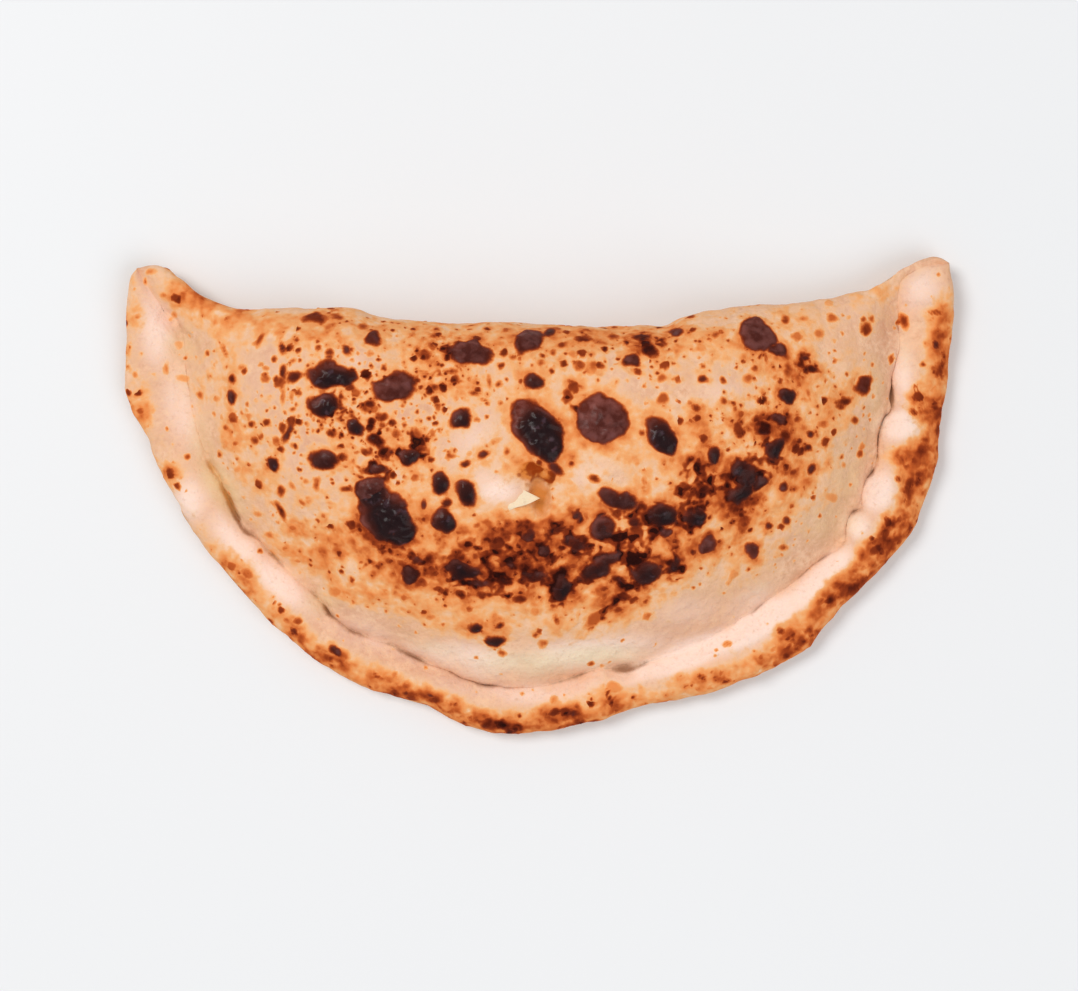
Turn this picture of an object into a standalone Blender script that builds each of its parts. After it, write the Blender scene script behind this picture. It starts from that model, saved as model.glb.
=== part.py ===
"""Calzone: a disc of pizza dough folded over its filling into a half moon, sealed along a rolled rim, baked.

Metres, +Z up. +X runs along the fold from the left horn to the right one, +Y points from the rim to the fold.
The origin is on the surface that the calzone rests on, under the middle of its box.

The solid is two grids laid over the half moon, an upper sheet and an underside, joined along the outline. A
grid's columns run from the rim to the fold, and its rows follow the rim, the crease beside it and the fold.
"""

import bmesh
import bpy
import numpy as np
from mathutils import Vector, noise

MM = 0.001

# Driving dimensions.
LENGTH = 290 * MM  # from horn to horn
WIDTH = 167 * MM  # from the horns' tips to the far side of the rim
HEIGHT = 44 * MM  # of the puffed body

# The folded edge and the sealed rim, each from the left horn's tip to the right one's, in mm.
FOLD_EDGE = (
    (-140.5, 79.6), (-134, 80.4), (-129.5, 78.5), (-123, 73.7), (-115.7, 68.9), (-102, 64.6), (-82, 65.1),
    (-65, 64.7), (-55.5, 61.8), (-37.5, 59.9), (-6.5, 59.6), (21, 58.6), (42, 58.9), (50, 61.6), (67.5, 65.2),
    (90, 66.8), (111, 70.3), (119, 73.7), (128.5, 79.9), (138, 83.7), (143.6, 81.3),
)
RIM_EDGE = (
    (-140.5, 79.6), (-143.4, 74), (-144.6, 55), (-145, 40), (-142.6, 29), (-137, 19.5), (-132.3, 7),
    (-126, -2.5), (-124, -9), (-107, -31), (-91, -47.5), (-70.5, -63), (-48, -72), (-37, -75.3), (-25, -81.2),
    (-11.7, -83.7), (6, -82.3), (23, -79), (42, -72.8), (61, -69.6), (77, -63), (92.5, -55), (101, -45),
    (128, -17.5), (135, -3.5), (139.2, 9), (140.5, 26), (143.4, 45), (145, 65), (143.6, 81.3),
)

# Rim: a strip of dough turned up over the edge and pressed down. It is rounded outside up to its shoulder,
# and ends in a lip that drops into the crease.
ROLL_HEIGHT = 12.5 * MM
ROLL_HEIGHT_WAVE = 1.5 * MM
ROLL_WIDTH = 16 * MM
ROLL_WIDTH_WAVE = 3 * MM
ROLL_WIDTH_MOST = 0.42  # share of a column that the roll may take, where the horns are narrow
ROLL_SHOULDER = 0.42  # share of the roll's width
ROLL_LIP = 0.2  # share of the roll's width
ROLL_WAVES = 15  # how many times the roll may swell from one horn to the other
CREASE_DEPTH = 3.8 * MM
RIM_BULGE_HEIGHT = 5.5 * MM  # where the rim reaches furthest out
HORN_SHARE = 0.1  # share of the length, at each end, where the body and the fold thin into a horn
TIP_SHOULDER = 0.024  # share of the length, at each end, where the tip is rounded off

# Body: puffed over the filling, fullest near the fold.
SLOPE_WIDTH = 31 * MM  # from the crease to most of the body's height
SLOPE_POWER = 1.12
FOLD_BULGE_HEIGHT = 13 * MM  # where the fold reaches furthest out
FOLD_SHOULDER = 19 * MM  # from the fold's edge to the top
FOLD_SHOULDER_MOST = 0.45  # share of a column
FOLD_SAG = 0.12  # how much lower the body is along the fold
FOLD_SAG_WIDTH = 32 * MM
SWELL_HEIGHT = 2.2 * MM  # of the broad dents in the top
SWELL_SIZE = 46 * MM

# Underside: flat, with its edge curving up, and the horns' tips off the table.
RIM_UNDERCUT = 7 * MM
FOLD_UNDERCUT = 10 * MM
UNDERCUT_MOST = 0.45  # share of a column
HORN_LIFT = 2 * MM
LIFT_FROM_X = 0.86  # share of half the length where the lift starts
LIFT_FROM_Y = 0.2  # share of the width above the origin where it starts

# The largest blisters: place, half length, half width, turn in degrees and height, in mm.
BLISTERS = (
    (0.5, 22.5, 11.5, 8.0, -52, 2.6),
    (-50.5, -6.5, 12.0, 8.5, -55, 2.6),
    (-72.0, 41.0, 9.5, 5.5, 5, 2.0),
    (-74.0, 31.0, 6.5, 5.0, 0, 1.6),
    (21.5, 24.0, 9.5, 7.5, -20, 1.4),
    (41.0, 19.5, 8.0, 6.0, -60, 1.6),
    (-48.0, 37.5, 7.5, 6.0, 0, 1.2),
    (-23.5, 49.5, 9.0, 5.5, -5, 1.4),
    (-3.0, 52.0, 7.5, 5.0, 10, 1.4),
    (75.5, 53.0, 9.5, 7.5, -35, 1.6),
    (35.0, -4.5, 15.0, 6.0, -14, 1.8),
    (70.0, 5.5, 9.0, 7.0, 40, 1.6),
)

# Grids: the columns' places as shares of the length, and the rows' as shares of the strip that they follow.
COLUMNS = 104
TIP_COLUMNS = (0.0015, 0.005, 0.014)  # extra columns that round each tip
TOP_ROLL_ROWS = (0, 0.04, 0.14, 0.3, 0.55, 0.8, 0.93, 1.02, 1.25)
TOP_MIDDLE_ROWS = 13
TOP_FOLD_ROWS = (0.7, 0.4, 0.16, 0.04, 0)
BASE_ROWS = (0, 0.14, 0.45, 1)
EDGE_SAMPLES = 900
SPLINE_STEPS = 24
LEAST_CHORD = 0.1 * MM

CRUST_COLOUR = (0.80, 0.52, 0.30, 1.0)
CRUST_ROUGHNESS = 0.7


def remove_everything():
    for old in list(bpy.data.objects):
        bpy.data.objects.remove(old, do_unlink=True)


def spline(points):
    """A smooth line through the points, as places evenly spread along it, in metres."""
    knots = np.array(points, float) * MM
    padded = np.vstack([2 * knots[0] - knots[1], knots, 2 * knots[-1] - knots[-2]])
    t = np.linspace(0, 1, SPLINE_STEPS, endpoint=False)[:, None]
    runs = []
    for a, b, c, d in zip(padded, padded[1:], padded[2:], padded[3:]):
        bend = (2 * a - 5 * b + 4 * c - d) * t**2 + (3 * b - a - 3 * c + d) * t**3
        runs.append(b + 0.5 * ((c - a) * t + bend))
    line = np.vstack([*runs, knots[-1:]])
    along = np.concatenate([[0], np.cumsum(np.linalg.norm(np.diff(line, axis=0), axis=1))])
    wanted = np.linspace(0, along[-1], EDGE_SAMPLES)
    return np.stack([np.interp(wanted, along, line[:, k]) for k in (0, 1)], axis=1)


def fitted_edges():
    """The fold and the rim, moved and scaled so that the outline is LENGTH by WIDTH about the origin."""
    fold, rim = spline(FOLD_EDGE), spline(RIM_EDGE)
    both = np.vstack([fold, rim])
    low, high = both.min(axis=0), both.max(axis=0)
    scale = np.array([LENGTH, WIDTH]) / (high - low)
    middle = (low + high) / 2
    return (fold - middle) * scale, (rim - middle) * scale


def along_edge(edge, share):
    """The places at these shares of an edge's length."""
    steps = np.linspace(0, 1, len(edge))
    return np.stack([np.interp(share, steps, edge[:, k]) for k in (0, 1)], axis=1)


def round_over(share):
    """A quarter ellipse: 0 at the edge, 1 at the shoulder and beyond."""
    return np.sqrt(1 - (1 - np.clip(share, 0, 1)) ** 2)


def smooth(share):
    share = np.clip(share, 0, 1)
    return share * share * (3 - 2 * share)


def waves(x, y, seed):
    """Smooth noise, mostly from -0.7 to 0.7, that changes over a distance of about 1."""
    values = [noise.noise(Vector((a, b, seed))) for a, b in zip(np.ravel(x), np.ravel(y))]
    return np.reshape(values, np.shape(x))


def away_from_horns(share):
    """0 at the horns' tips, 1 along the rest of the length."""
    return smooth(share / HORN_SHARE) * smooth((1 - share) / HORN_SHARE)


def tip_round(share):
    """0 at the horns' very ends, 1 where their tips are full."""
    return round_over(np.minimum(share, 1 - share) / TIP_SHOULDER)


def column_shares():
    even = np.linspace(0, 1, COLUMNS + 1)
    tips = np.array(TIP_COLUMNS)
    return np.sort(np.concatenate([even, tips, 1 - tips]))


def roll_width(share, chord):
    width = ROLL_WIDTH + ROLL_WIDTH_WAVE * waves(share * ROLL_WAVES, 0 * share, 8.5)
    return np.minimum(width, ROLL_WIDTH_MOST * chord)


def fold_shoulder(chord):
    return np.minimum(FOLD_SHOULDER, FOLD_SHOULDER_MOST * chord)


def top_rows(share, chord):
    """How far each point of the upper sheet is from the rim, along its column."""
    roll = roll_width(share, chord)[:, None] * TOP_ROLL_ROWS
    fold = chord[:, None] - fold_shoulder(chord)[:, None] * TOP_FOLD_ROWS
    part = np.linspace(0, 1, TOP_MIDDLE_ROWS + 2)[1:-1]
    middle = roll[:, -1:] + (fold[:, :1] - roll[:, -1:]) * part
    return np.hstack([roll, middle, fold])


def base_rows(chord):
    """The same for the underside, which is flat from the end of one undercut to the end of the other."""
    most = UNDERCUT_MOST * chord
    rim = np.minimum(RIM_UNDERCUT, most)[:, None] * BASE_ROWS
    fold = chord[:, None] - np.minimum(FOLD_UNDERCUT, most)[:, None] * BASE_ROWS[::-1]
    return np.hstack([rim, fold])


def blister_rise(places):
    rise = np.zeros(places.shape[:-1])
    for x, y, half_length, half_width, turn, height in BLISTERS:
        aside, ahead = np.moveaxis(places / MM - (x, y), -1, 0)
        c, s = np.cos(np.radians(turn)), np.sin(np.radians(turn))
        along = (aside * c + ahead * s) / half_length
        across = (ahead * c - aside * s) / half_width
        rise += height * MM * np.clip(1 - along**2 - across**2, 0, 1) ** 1.5
    return rise


def bulge_heights(share):
    """The heights at which the rim and the fold reach furthest out."""
    rim = RIM_BULGE_HEIGHT + 0 * share
    return rim, rim + (FOLD_BULGE_HEIGHT - RIM_BULGE_HEIGHT) * away_from_horns(share)


def top_heights(places, share, chord, from_rim):
    """The upper sheet: rolled rim, crease, puffed body and the round edge of the fold."""
    share, chord = share[:, None], chord[:, None]
    from_fold = chord - from_rim
    width = roll_width(share, chord)
    part = from_rim / np.maximum(width, LEAST_CHORD)

    roll = ROLL_HEIGHT + ROLL_HEIGHT_WAVE * waves(share * ROLL_WAVES, 0 * share, 3.5)
    crease = roll - CREASE_DEPTH * away_from_horns(share)
    rim_top = crease + (roll - crease) * round_over((1 - part) / ROLL_LIP)

    slope = 1 - np.exp(-((np.clip(from_rim - width, 0, None) / SLOPE_WIDTH) ** SLOPE_POWER))
    full = HEIGHT + SWELL_HEIGHT * waves(places[..., 0] / SWELL_SIZE, places[..., 1] / SWELL_SIZE, 1.5)
    full *= 1 - FOLD_SAG * np.exp(-((from_fold / FOLD_SAG_WIDTH) ** 2))
    target = rim_top + (full - crease) * slope + blister_rise(places)

    rim_bulge, fold_bulge = bulge_heights(share)
    bulge = rim_bulge + (fold_bulge - rim_bulge) * from_rim / np.maximum(chord, LEAST_CHORD)
    shoulder = np.maximum(fold_shoulder(chord), LEAST_CHORD)
    edges = round_over(part / ROLL_SHOULDER) * round_over(from_fold / shoulder) * tip_round(share)
    return bulge + (target - bulge) * edges


def base_heights(share):
    """The underside: it curves in from where each side reaches furthest out, down to the table."""
    rim_bulge, fold_bulge = bulge_heights(share[:, None])
    curve = round_over(np.array(BASE_ROWS)) * tip_round(share[:, None])
    return np.hstack([rim_bulge * (1 - curve), fold_bulge * (1 - curve[:, ::-1])])


def horn_lift(places):
    outwards = smooth((np.abs(places[..., 0]) / (LENGTH / 2) - LIFT_FROM_X) / (1 - LIFT_FROM_X))
    upwards = smooth((places[..., 1] / WIDTH - LIFT_FROM_Y) / LIFT_FROM_Y)
    return HORN_LIFT * outwards * upwards


def laid_sheet(bm, places, heights):
    """Adds a flat grid and moves its vertices to these places and heights."""
    columns, rows = heights.shape
    made = bmesh.ops.create_grid(bm, x_segments=columns - 1, y_segments=rows - 1, size=0.5)["verts"]
    for vert in made:
        i = round((vert.co.x + 0.5) * (columns - 1))
        j = round((vert.co.y + 0.5) * (rows - 1))
        vert.co = (*places[i, j], heights[i, j])


def calzone_mesh():
    """One closed solid: the upper sheet and the underside share the outline."""
    fold, rim = fitted_edges()
    share = column_shares()
    starts, ends = along_edge(rim, share), along_edge(fold, share)
    chord = np.linalg.norm(ends - starts, axis=1)
    across = (ends - starts) / np.maximum(chord, LEAST_CHORD)[:, None]
    from_rim = top_rows(share, chord)
    top = starts[:, None] + across[:, None] * from_rim[..., None]
    base = starts[:, None] + across[:, None] * base_rows(chord)[..., None]
    top_z = top_heights(top, share, chord, from_rim) + horn_lift(top)
    top_z[:, 1:-1] *= HEIGHT / top_z.max()

    bm = bmesh.new()
    laid_sheet(bm, top, top_z)
    laid_sheet(bm, base, base_heights(share) + horn_lift(base))
    bmesh.ops.remove_doubles(bm, verts=bm.verts, dist=0.01 * MM)
    bmesh.ops.recalc_face_normals(bm, faces=bm.faces)
    bmesh.ops.triangulate(bm, faces=bm.faces)
    mesh = bpy.data.meshes.new("calzone")
    bm.to_mesh(mesh)
    bm.free()
    mesh.shade_smooth()
    return mesh


def baked_dough():
    material = bpy.data.materials.new("baked_dough")
    material.use_nodes = True
    shader = material.node_tree.nodes["Principled BSDF"]
    shader.inputs["Base Color"].default_value = CRUST_COLOUR
    shader.inputs["Roughness"].default_value = CRUST_ROUGHNESS
    shader.inputs["Metallic"].default_value = 0.0
    return material


def main():
    remove_everything()
    parts = bpy.data.collections.new("calzone")
    bpy.context.scene.collection.children.link(parts)
    calzone = bpy.data.objects.new("calzone", calzone_mesh())
    calzone.data.materials.append(baked_dough())
    parts.objects.link(calzone)


main()
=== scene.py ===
import bpy
import numpy as np
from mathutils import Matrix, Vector, bvhtree, kdtree, noise


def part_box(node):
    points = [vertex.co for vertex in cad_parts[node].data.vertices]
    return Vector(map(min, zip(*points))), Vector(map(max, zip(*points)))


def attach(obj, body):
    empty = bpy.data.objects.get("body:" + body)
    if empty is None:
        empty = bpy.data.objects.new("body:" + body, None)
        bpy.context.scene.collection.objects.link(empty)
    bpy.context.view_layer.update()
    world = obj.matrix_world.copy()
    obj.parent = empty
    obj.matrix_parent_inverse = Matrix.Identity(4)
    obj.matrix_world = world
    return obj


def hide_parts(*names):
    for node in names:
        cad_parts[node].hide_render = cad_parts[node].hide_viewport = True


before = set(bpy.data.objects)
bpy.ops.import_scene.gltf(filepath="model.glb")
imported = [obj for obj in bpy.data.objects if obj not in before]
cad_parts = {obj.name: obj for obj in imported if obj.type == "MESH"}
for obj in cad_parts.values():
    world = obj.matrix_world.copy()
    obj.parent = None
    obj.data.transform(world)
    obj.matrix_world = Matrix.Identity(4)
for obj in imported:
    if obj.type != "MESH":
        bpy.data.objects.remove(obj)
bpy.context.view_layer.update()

MM = 0.001


# ---------------------------------------------------------------------------------------------------------------
# The crust: a disc of pizza dough, folded over its filling into a half moon. The rim is turned up over the edge
# and pressed down by hand, which leaves a wavering crease. The oven's floor and flame puff the body, raise
# blisters that char, and brown the dough unevenly.
# ---------------------------------------------------------------------------------------------------------------

# The folded edge, the sealed rim and the crease between rim and body, from the left horn's tip to the right
# one's, in mm. +X runs along the fold and +Y from the rim to the fold.
FOLD_EDGE = (
    (-140.5, 79.6), (-134, 80.4), (-129.5, 78.5), (-123, 73.7), (-115.7, 68.9), (-102, 64.6), (-82, 65.1),
    (-65, 64.7), (-55.5, 61.8), (-37.5, 59.9), (-6.5, 59.6), (21, 58.6), (42, 58.9), (50, 61.6), (67.5, 65.2),
    (90, 66.8), (111, 70.3), (119, 73.7), (128.5, 79.9), (138, 83.7), (143.6, 81.3),
)
RIM_EDGE = (
    (-140.5, 79.6), (-143.4, 74), (-144.6, 55), (-145, 40), (-142.6, 29), (-137, 19.5), (-132.3, 7),
    (-126, -2.5), (-124, -9), (-107, -31), (-91, -47.5), (-70.5, -63), (-48, -72), (-37, -75.3), (-25, -81.2),
    (-11.7, -83.7), (6, -82.3), (23, -79), (42, -72.8), (61, -69.6), (77, -63), (92.5, -55), (101, -45),
    (128, -17.5), (135, -3.5), (139.2, 9), (140.5, 26), (143.4, 45), (145, 65), (143.6, 81.3),
)
CREASE = (
    (-140.5, 79.6), (-136.5, 73), (-129.5, 62.7), (-126.4, 59.6), (-123.6, 46.5), (-120.9, 29.3),
    (-117.4, 15.5), (-112.6, 5.9), (-108.1, -1.7), (-103, -11.4), (-95.4, -18.9), (-85.8, -28.6),
    (-79.2, -34.4), (-71.6, -43.7), (-64.1, -48.6), (-51.7, -53), (-41, -58.5), (-25.1, -65.1),
    (-16.9, -67.5), (-0.7, -67.8), (12.4, -64.1), (21, -61.3), (33.4, -60.6), (40, -58.2), (52, -55.1),
    (65.8, -47.5), (70.9, -43.1), (75.1, -41), (81.3, -36.2), (89.9, -30), (95.1, -25.8), (100.2, -22.4),
    (105, -18.4), (107.4, -15), (107.8, -11), (109.2, -7.4), (113, -5.2), (113.5, 0), (114.2, 4.8), (117, 7.8),
    (117.9, 13), (118.6, 17.2), (119.2, 21), (120.2, 25.8), (122.8, 28.8), (123.2, 34), (123.4, 40.5),
    (125.6, 49.9), (125.7, 60.3), (125.4, 70.6), (127.1, 75.8), (135, 80), (143.6, 81.3),
)

# Rim, in metres: an uneven rope, highest past its middle, that drops into the crease.
RIM_HEIGHT = 12.5 * MM
RIM_WAVE = 1.5 * MM
RIM_WAVES = 15
RIM_CREST = 0.6
RIM_BULGE = 5.5 * MM

# Body.
BODY_START = 8.7 * MM
BODY_SLOPE = 31 * MM
BODY_SLOPE_POWER = 1.12
SWELL = 2.2 * MM
SWELL_SIZE = 46 * MM
FOLD_BULGE = 13 * MM
FOLD_SHOULDER = 19 * MM
FOLD_SAG = 0.12
FOLD_SAG_WIDTH = 32 * MM
HORN_SHARE = 0.1
TIP_SHARE = 0.036
HORN_LIFT = 2 * MM
RIM_UNDERCUT = 7 * MM
FOLD_UNDERCUT = 10 * MM

# How open the crease is: place, reach and depth, in mm. The deep one on the left gapes where the filling's oil
# has run out.
CREASE_GAPS = (
    (-107, -4, 9, 3.6), (-113, 7, 8, 1.6), (-74, -41, 9, 2.6), (-65, -48, 7, 1.8), (-45, -56, 11, 2.0),
    (-25, -65, 11, 2.2), (-8, -68, 9, 1.4), (12, -64, 12, 1.6), (31, -61, 8, 2.6), (76, -41, 6, 1.6),
    (93, -27, 9, 1.3), (110, -6.5, 4, 2.0), (107, -14, 5, 1.6), (116, 7, 4, 2.2), (119, 19, 5, 1.3), (122, 28, 4, 1.8), (123, 35, 7, 2.6), (126, 55, 10, 1.2),
    (-126, 58, 8, 0.8), (-121, 35, 12, 0.5),
)

# Lumps and pinches in the dough: place, reach and height, in mm.
LUMPS = (
    (75, -61, 4, 1.3), (126, 24, 6, 1.8), (118.5, 1, 6, 1.7), (112, -10.5, 4.5, 1.4), (-122, -2, 8, 0.9),
    (98, -35, 8, 0.8), (-15, -75, 12, 0.8), (35, -67, 6, -1.6), (-125, -9, 5, -1.0), (133, 3, 7, -0.8),
    (120, -17, 6, -0.7), (-128, 62, 5, -1.4), (-133, 72, 6, 0.8), (-122, 52, 7, -0.8), (134, 70, 8, 0.5),
    (-58, -64, 7, 0.7), (60, -63, 6, 0.6), (132, 47, 8, 0.7), (-137, 34, 8, -0.6), (-30, -62, 7, 0.9), (2, -76, 9, 0.8), (44, -66, 6, 1.0), (-88, -40, 7, 0.8),
    (-103, -30, 6, -0.5),
    (-21, 12, 9, 0.9), (16, 8, 8, 0.7), (62, 34, 10, 0.8), (-92, 36, 12, 0.7), (10, -48, 14, 0.9),
    (-38, -40, 12, 0.6), (82, -26, 12, 0.7), (124, 13.5, 4, -1.1), (116, -6.5, 3, -0.9), (125, 33, 4, -0.8),
    (128, 43, 6, 0.7), (105, -24, 5, 0.8), (111, 10, 6, -0.7), (104, -6, 6, -0.6), (114, 26, 6, -0.6),
    (-70, -22, 12, -0.7), (45, -44, 12, -0.6), (100, 52, 10, -0.5),
)

# Wrinkles in the skin: both ends, half width and depth, in mm.
WRINKLES = (
    ((-37, 22), (-22, 9), 1.3, 0.55), ((-22, 9), (-8, -1), 1.2, 0.5), ((-30, 6), (-14, 18), 1.1, 0.35),
    ((10, 12), (21, 3), 1.0, 0.4), ((126.5, 66), (141, 66), 0.9, 0.6), ((125, 60), (140, 59), 0.9, 0.6),
    ((-129, 61), (-119, 51), 1.6, 0.8), ((-86, 57), (-85.5, 22), 0.8, 0.3), ((85, 46), (92, 32), 0.7, 0.4),
    ((72, -54), (86, -47), 0.9, 0.6), ((52, -59), (70, -55), 0.8, 0.5), ((-38, -36), (-34, -56), 0.9, 0.3),
    ((14, -34), (22, -30), 0.8, 0.3), ((-16, -26), (-8, -29), 0.8, 0.4), ((-134, 58), (-126, 50), 1.2, 0.4),
)

# Blisters that the flame has charred: place, half length, half width, turn in degrees, how far it is burnt
# from 0 to 1, and how high it stands, in mm.
BLISTERS = (
    (-70.1, 40.2, 8.4, 4.8, -3, 1.0, 2.0), (-72.2, 30.0, 5.0, 4.3, 0, 1.0, 1.6),
    (-48.4, 36.0, 7.0, 5.2, 8, 0.80, 1.2), (-56.2, 53.1, 3.5, 2.7, 0, 0.75, 0.6),
    (-62.3, 22.5, 3.3, 2.9, 30, 0.95, 1.0), (-55.1, 18.0, 3.7, 2.1, -25, 0.72, 0.5),
    (-90.2, 10.9, 2.9, 2.4, -70, 0.92, 0.9), (-72.8, 11.6, 5.2, 2.9, -10, 0.90, 1.0),
    (-53.8, 8.5, 3.5, 2.4, 0, 0.85, 0.7), (-43.6, 12.6, 3.7, 3.7, 0, 0.92, 1.0),
    (-57.4, 1.0, 5.8, 5.2, 0, 0.88, 1.0), (-52.0, -6.8, 11.2, 8.5, -50, 1.0, 2.6),
    (-46.8, -10.6, 5.8, 5.4, -20, 1.0, 0.8), (-105.5, 33.0, 3.3, 2.3, 90, 0.88, 0.7),
    (-104.8, 40.2, 1.9, 1.5, 60, 0.70, 0.3), (-22.6, 48.2, 8.0, 4.9, -10, 0.85, 1.4),
    (-2.5, 52.4, 5.3, 4.1, 25, 0.86, 1.4), (3.4, 55.2, 1.8, 1.7, 0, 0.90, 0.3),
    (-1.1, 38.0, 3.8, 3.2, 0, 0.90, 0.9), (31.2, 45.7, 3.2, 3.0, 0, 0.86, 0.7),
    (-26.9, 25.7, 4.2, 3.5, 40, 0.92, 1.2), (-0.4, 21.6, 12.2, 7.7, -52, 1.0, 2.6),
    (5.5, 9.0, 4.2, 2.0, -50, 0.85, 0.7), (21.2, 25.2, 9.6, 8.2, -15, 0.84, 1.3),
    (41.4, 19.4, 7.0, 4.6, -60, 0.95, 1.6), (-33.1, 3.5, 4.4, 3.4, -45, 0.95, 1.3),
    (-24.3, 0.4, 4.2, 3.3, -60, 0.95, 1.3), (-32.0, -8.4, 4.7, 4.0, -30, 0.97, 1.3),
    (-31.0, -3.1, 1.9, 1.8, 0, 0.75, 0.3), (27.3, -2.1, 7.4, 3.8, -22, 0.90, 1.3),
    (22.4, -11.6, 4.3, 4.3, 0, 0.85, 0.7), (41.3, -7.3, 6.0, 4.1, -15, 0.93, 1.3),
    (52.6, -7.3, 4.3, 4.1, 0, 0.93, 1.1), (59.2, 12.4, 3.7, 2.7, 75, 0.93, 0.8),
    (74.7, 54.1, 6.8, 5.6, -40, 0.84, 1.3), (81.6, 49.2, 3.4, 2.6, -20, 0.80, 0.6),
    (84.6, 33.8, 3.0, 2.9, 0, 0.92, 0.9), (112.0, 37.9, 4.2, 2.7, 48, 0.75, 0.7),
    (105.0, 32.4, 3.6, 1.4, 20, 0.72, 0.3), (81.0, 24.9, 3.1, 2.1, 0, 0.80, 0.4),
    (75.4, 22.5, 2.6, 2.2, 0, 0.70, 0.3), (80.0, 15.5, 5.2, 3.2, 70, 0.93, 1.0),
    (67.5, 8.6, 3.6, 3.2, 0, 0.95, 0.8), (71.0, 5.9, 4.4, 4.0, 0, 0.90, 1.0),
    (68.5, 1.0, 6.0, 3.6, 25, 0.97, 1.0), (75.4, 3.8, 4.0, 2.6, 45, 0.90, 0.6),
    (57.5, -17.2, 3.5, 2.8, 10, 0.87, 0.6), (72.6, -18.3, 2.9, 2.0, -65, 0.87, 0.5),
    (43.0, -13.4, 2.8, 2.1, 0, 0.80, 0.3), (-43.7, -27.3, 4.1, 2.8, -10, 0.90, 0.6),
    (-41.0, -22.4, 2.4, 1.7, 30, 0.85, 0.3), (-25.5, -25.8, 6.2, 3.4, -12, 0.93, 0.8),
    (-19.8, -30.1, 4.1, 1.7, -10, 0.87, 0.3), (-1.5, -28.0, 5.8, 2.2, -5, 0.78, 0.3),
    (8.4, -32.2, 4.8, 3.4, 85, 0.95, 0.9), (21.0, -24.5, 8.6, 3.6, 33, 0.90, 0.9),
    (36.5, -26.5, 5.8, 4.0, 0, 0.90, 0.8), (45.6, -24.5, 3.4, 2.0, 65, 0.90, 0.4),
    (-21.9, -45.2, 3.3, 2.2, 0, 0.95, 0.6), (-13.1, -44.9, 1.9, 1.5, 0, 0.86, 0.3),
    (-14.8, -50.5, 3.4, 2.3, -15, 0.95, 0.6), (-3.2, -14.0, 3.1, 2.5, 0, 0.86, 0.4),
)

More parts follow.
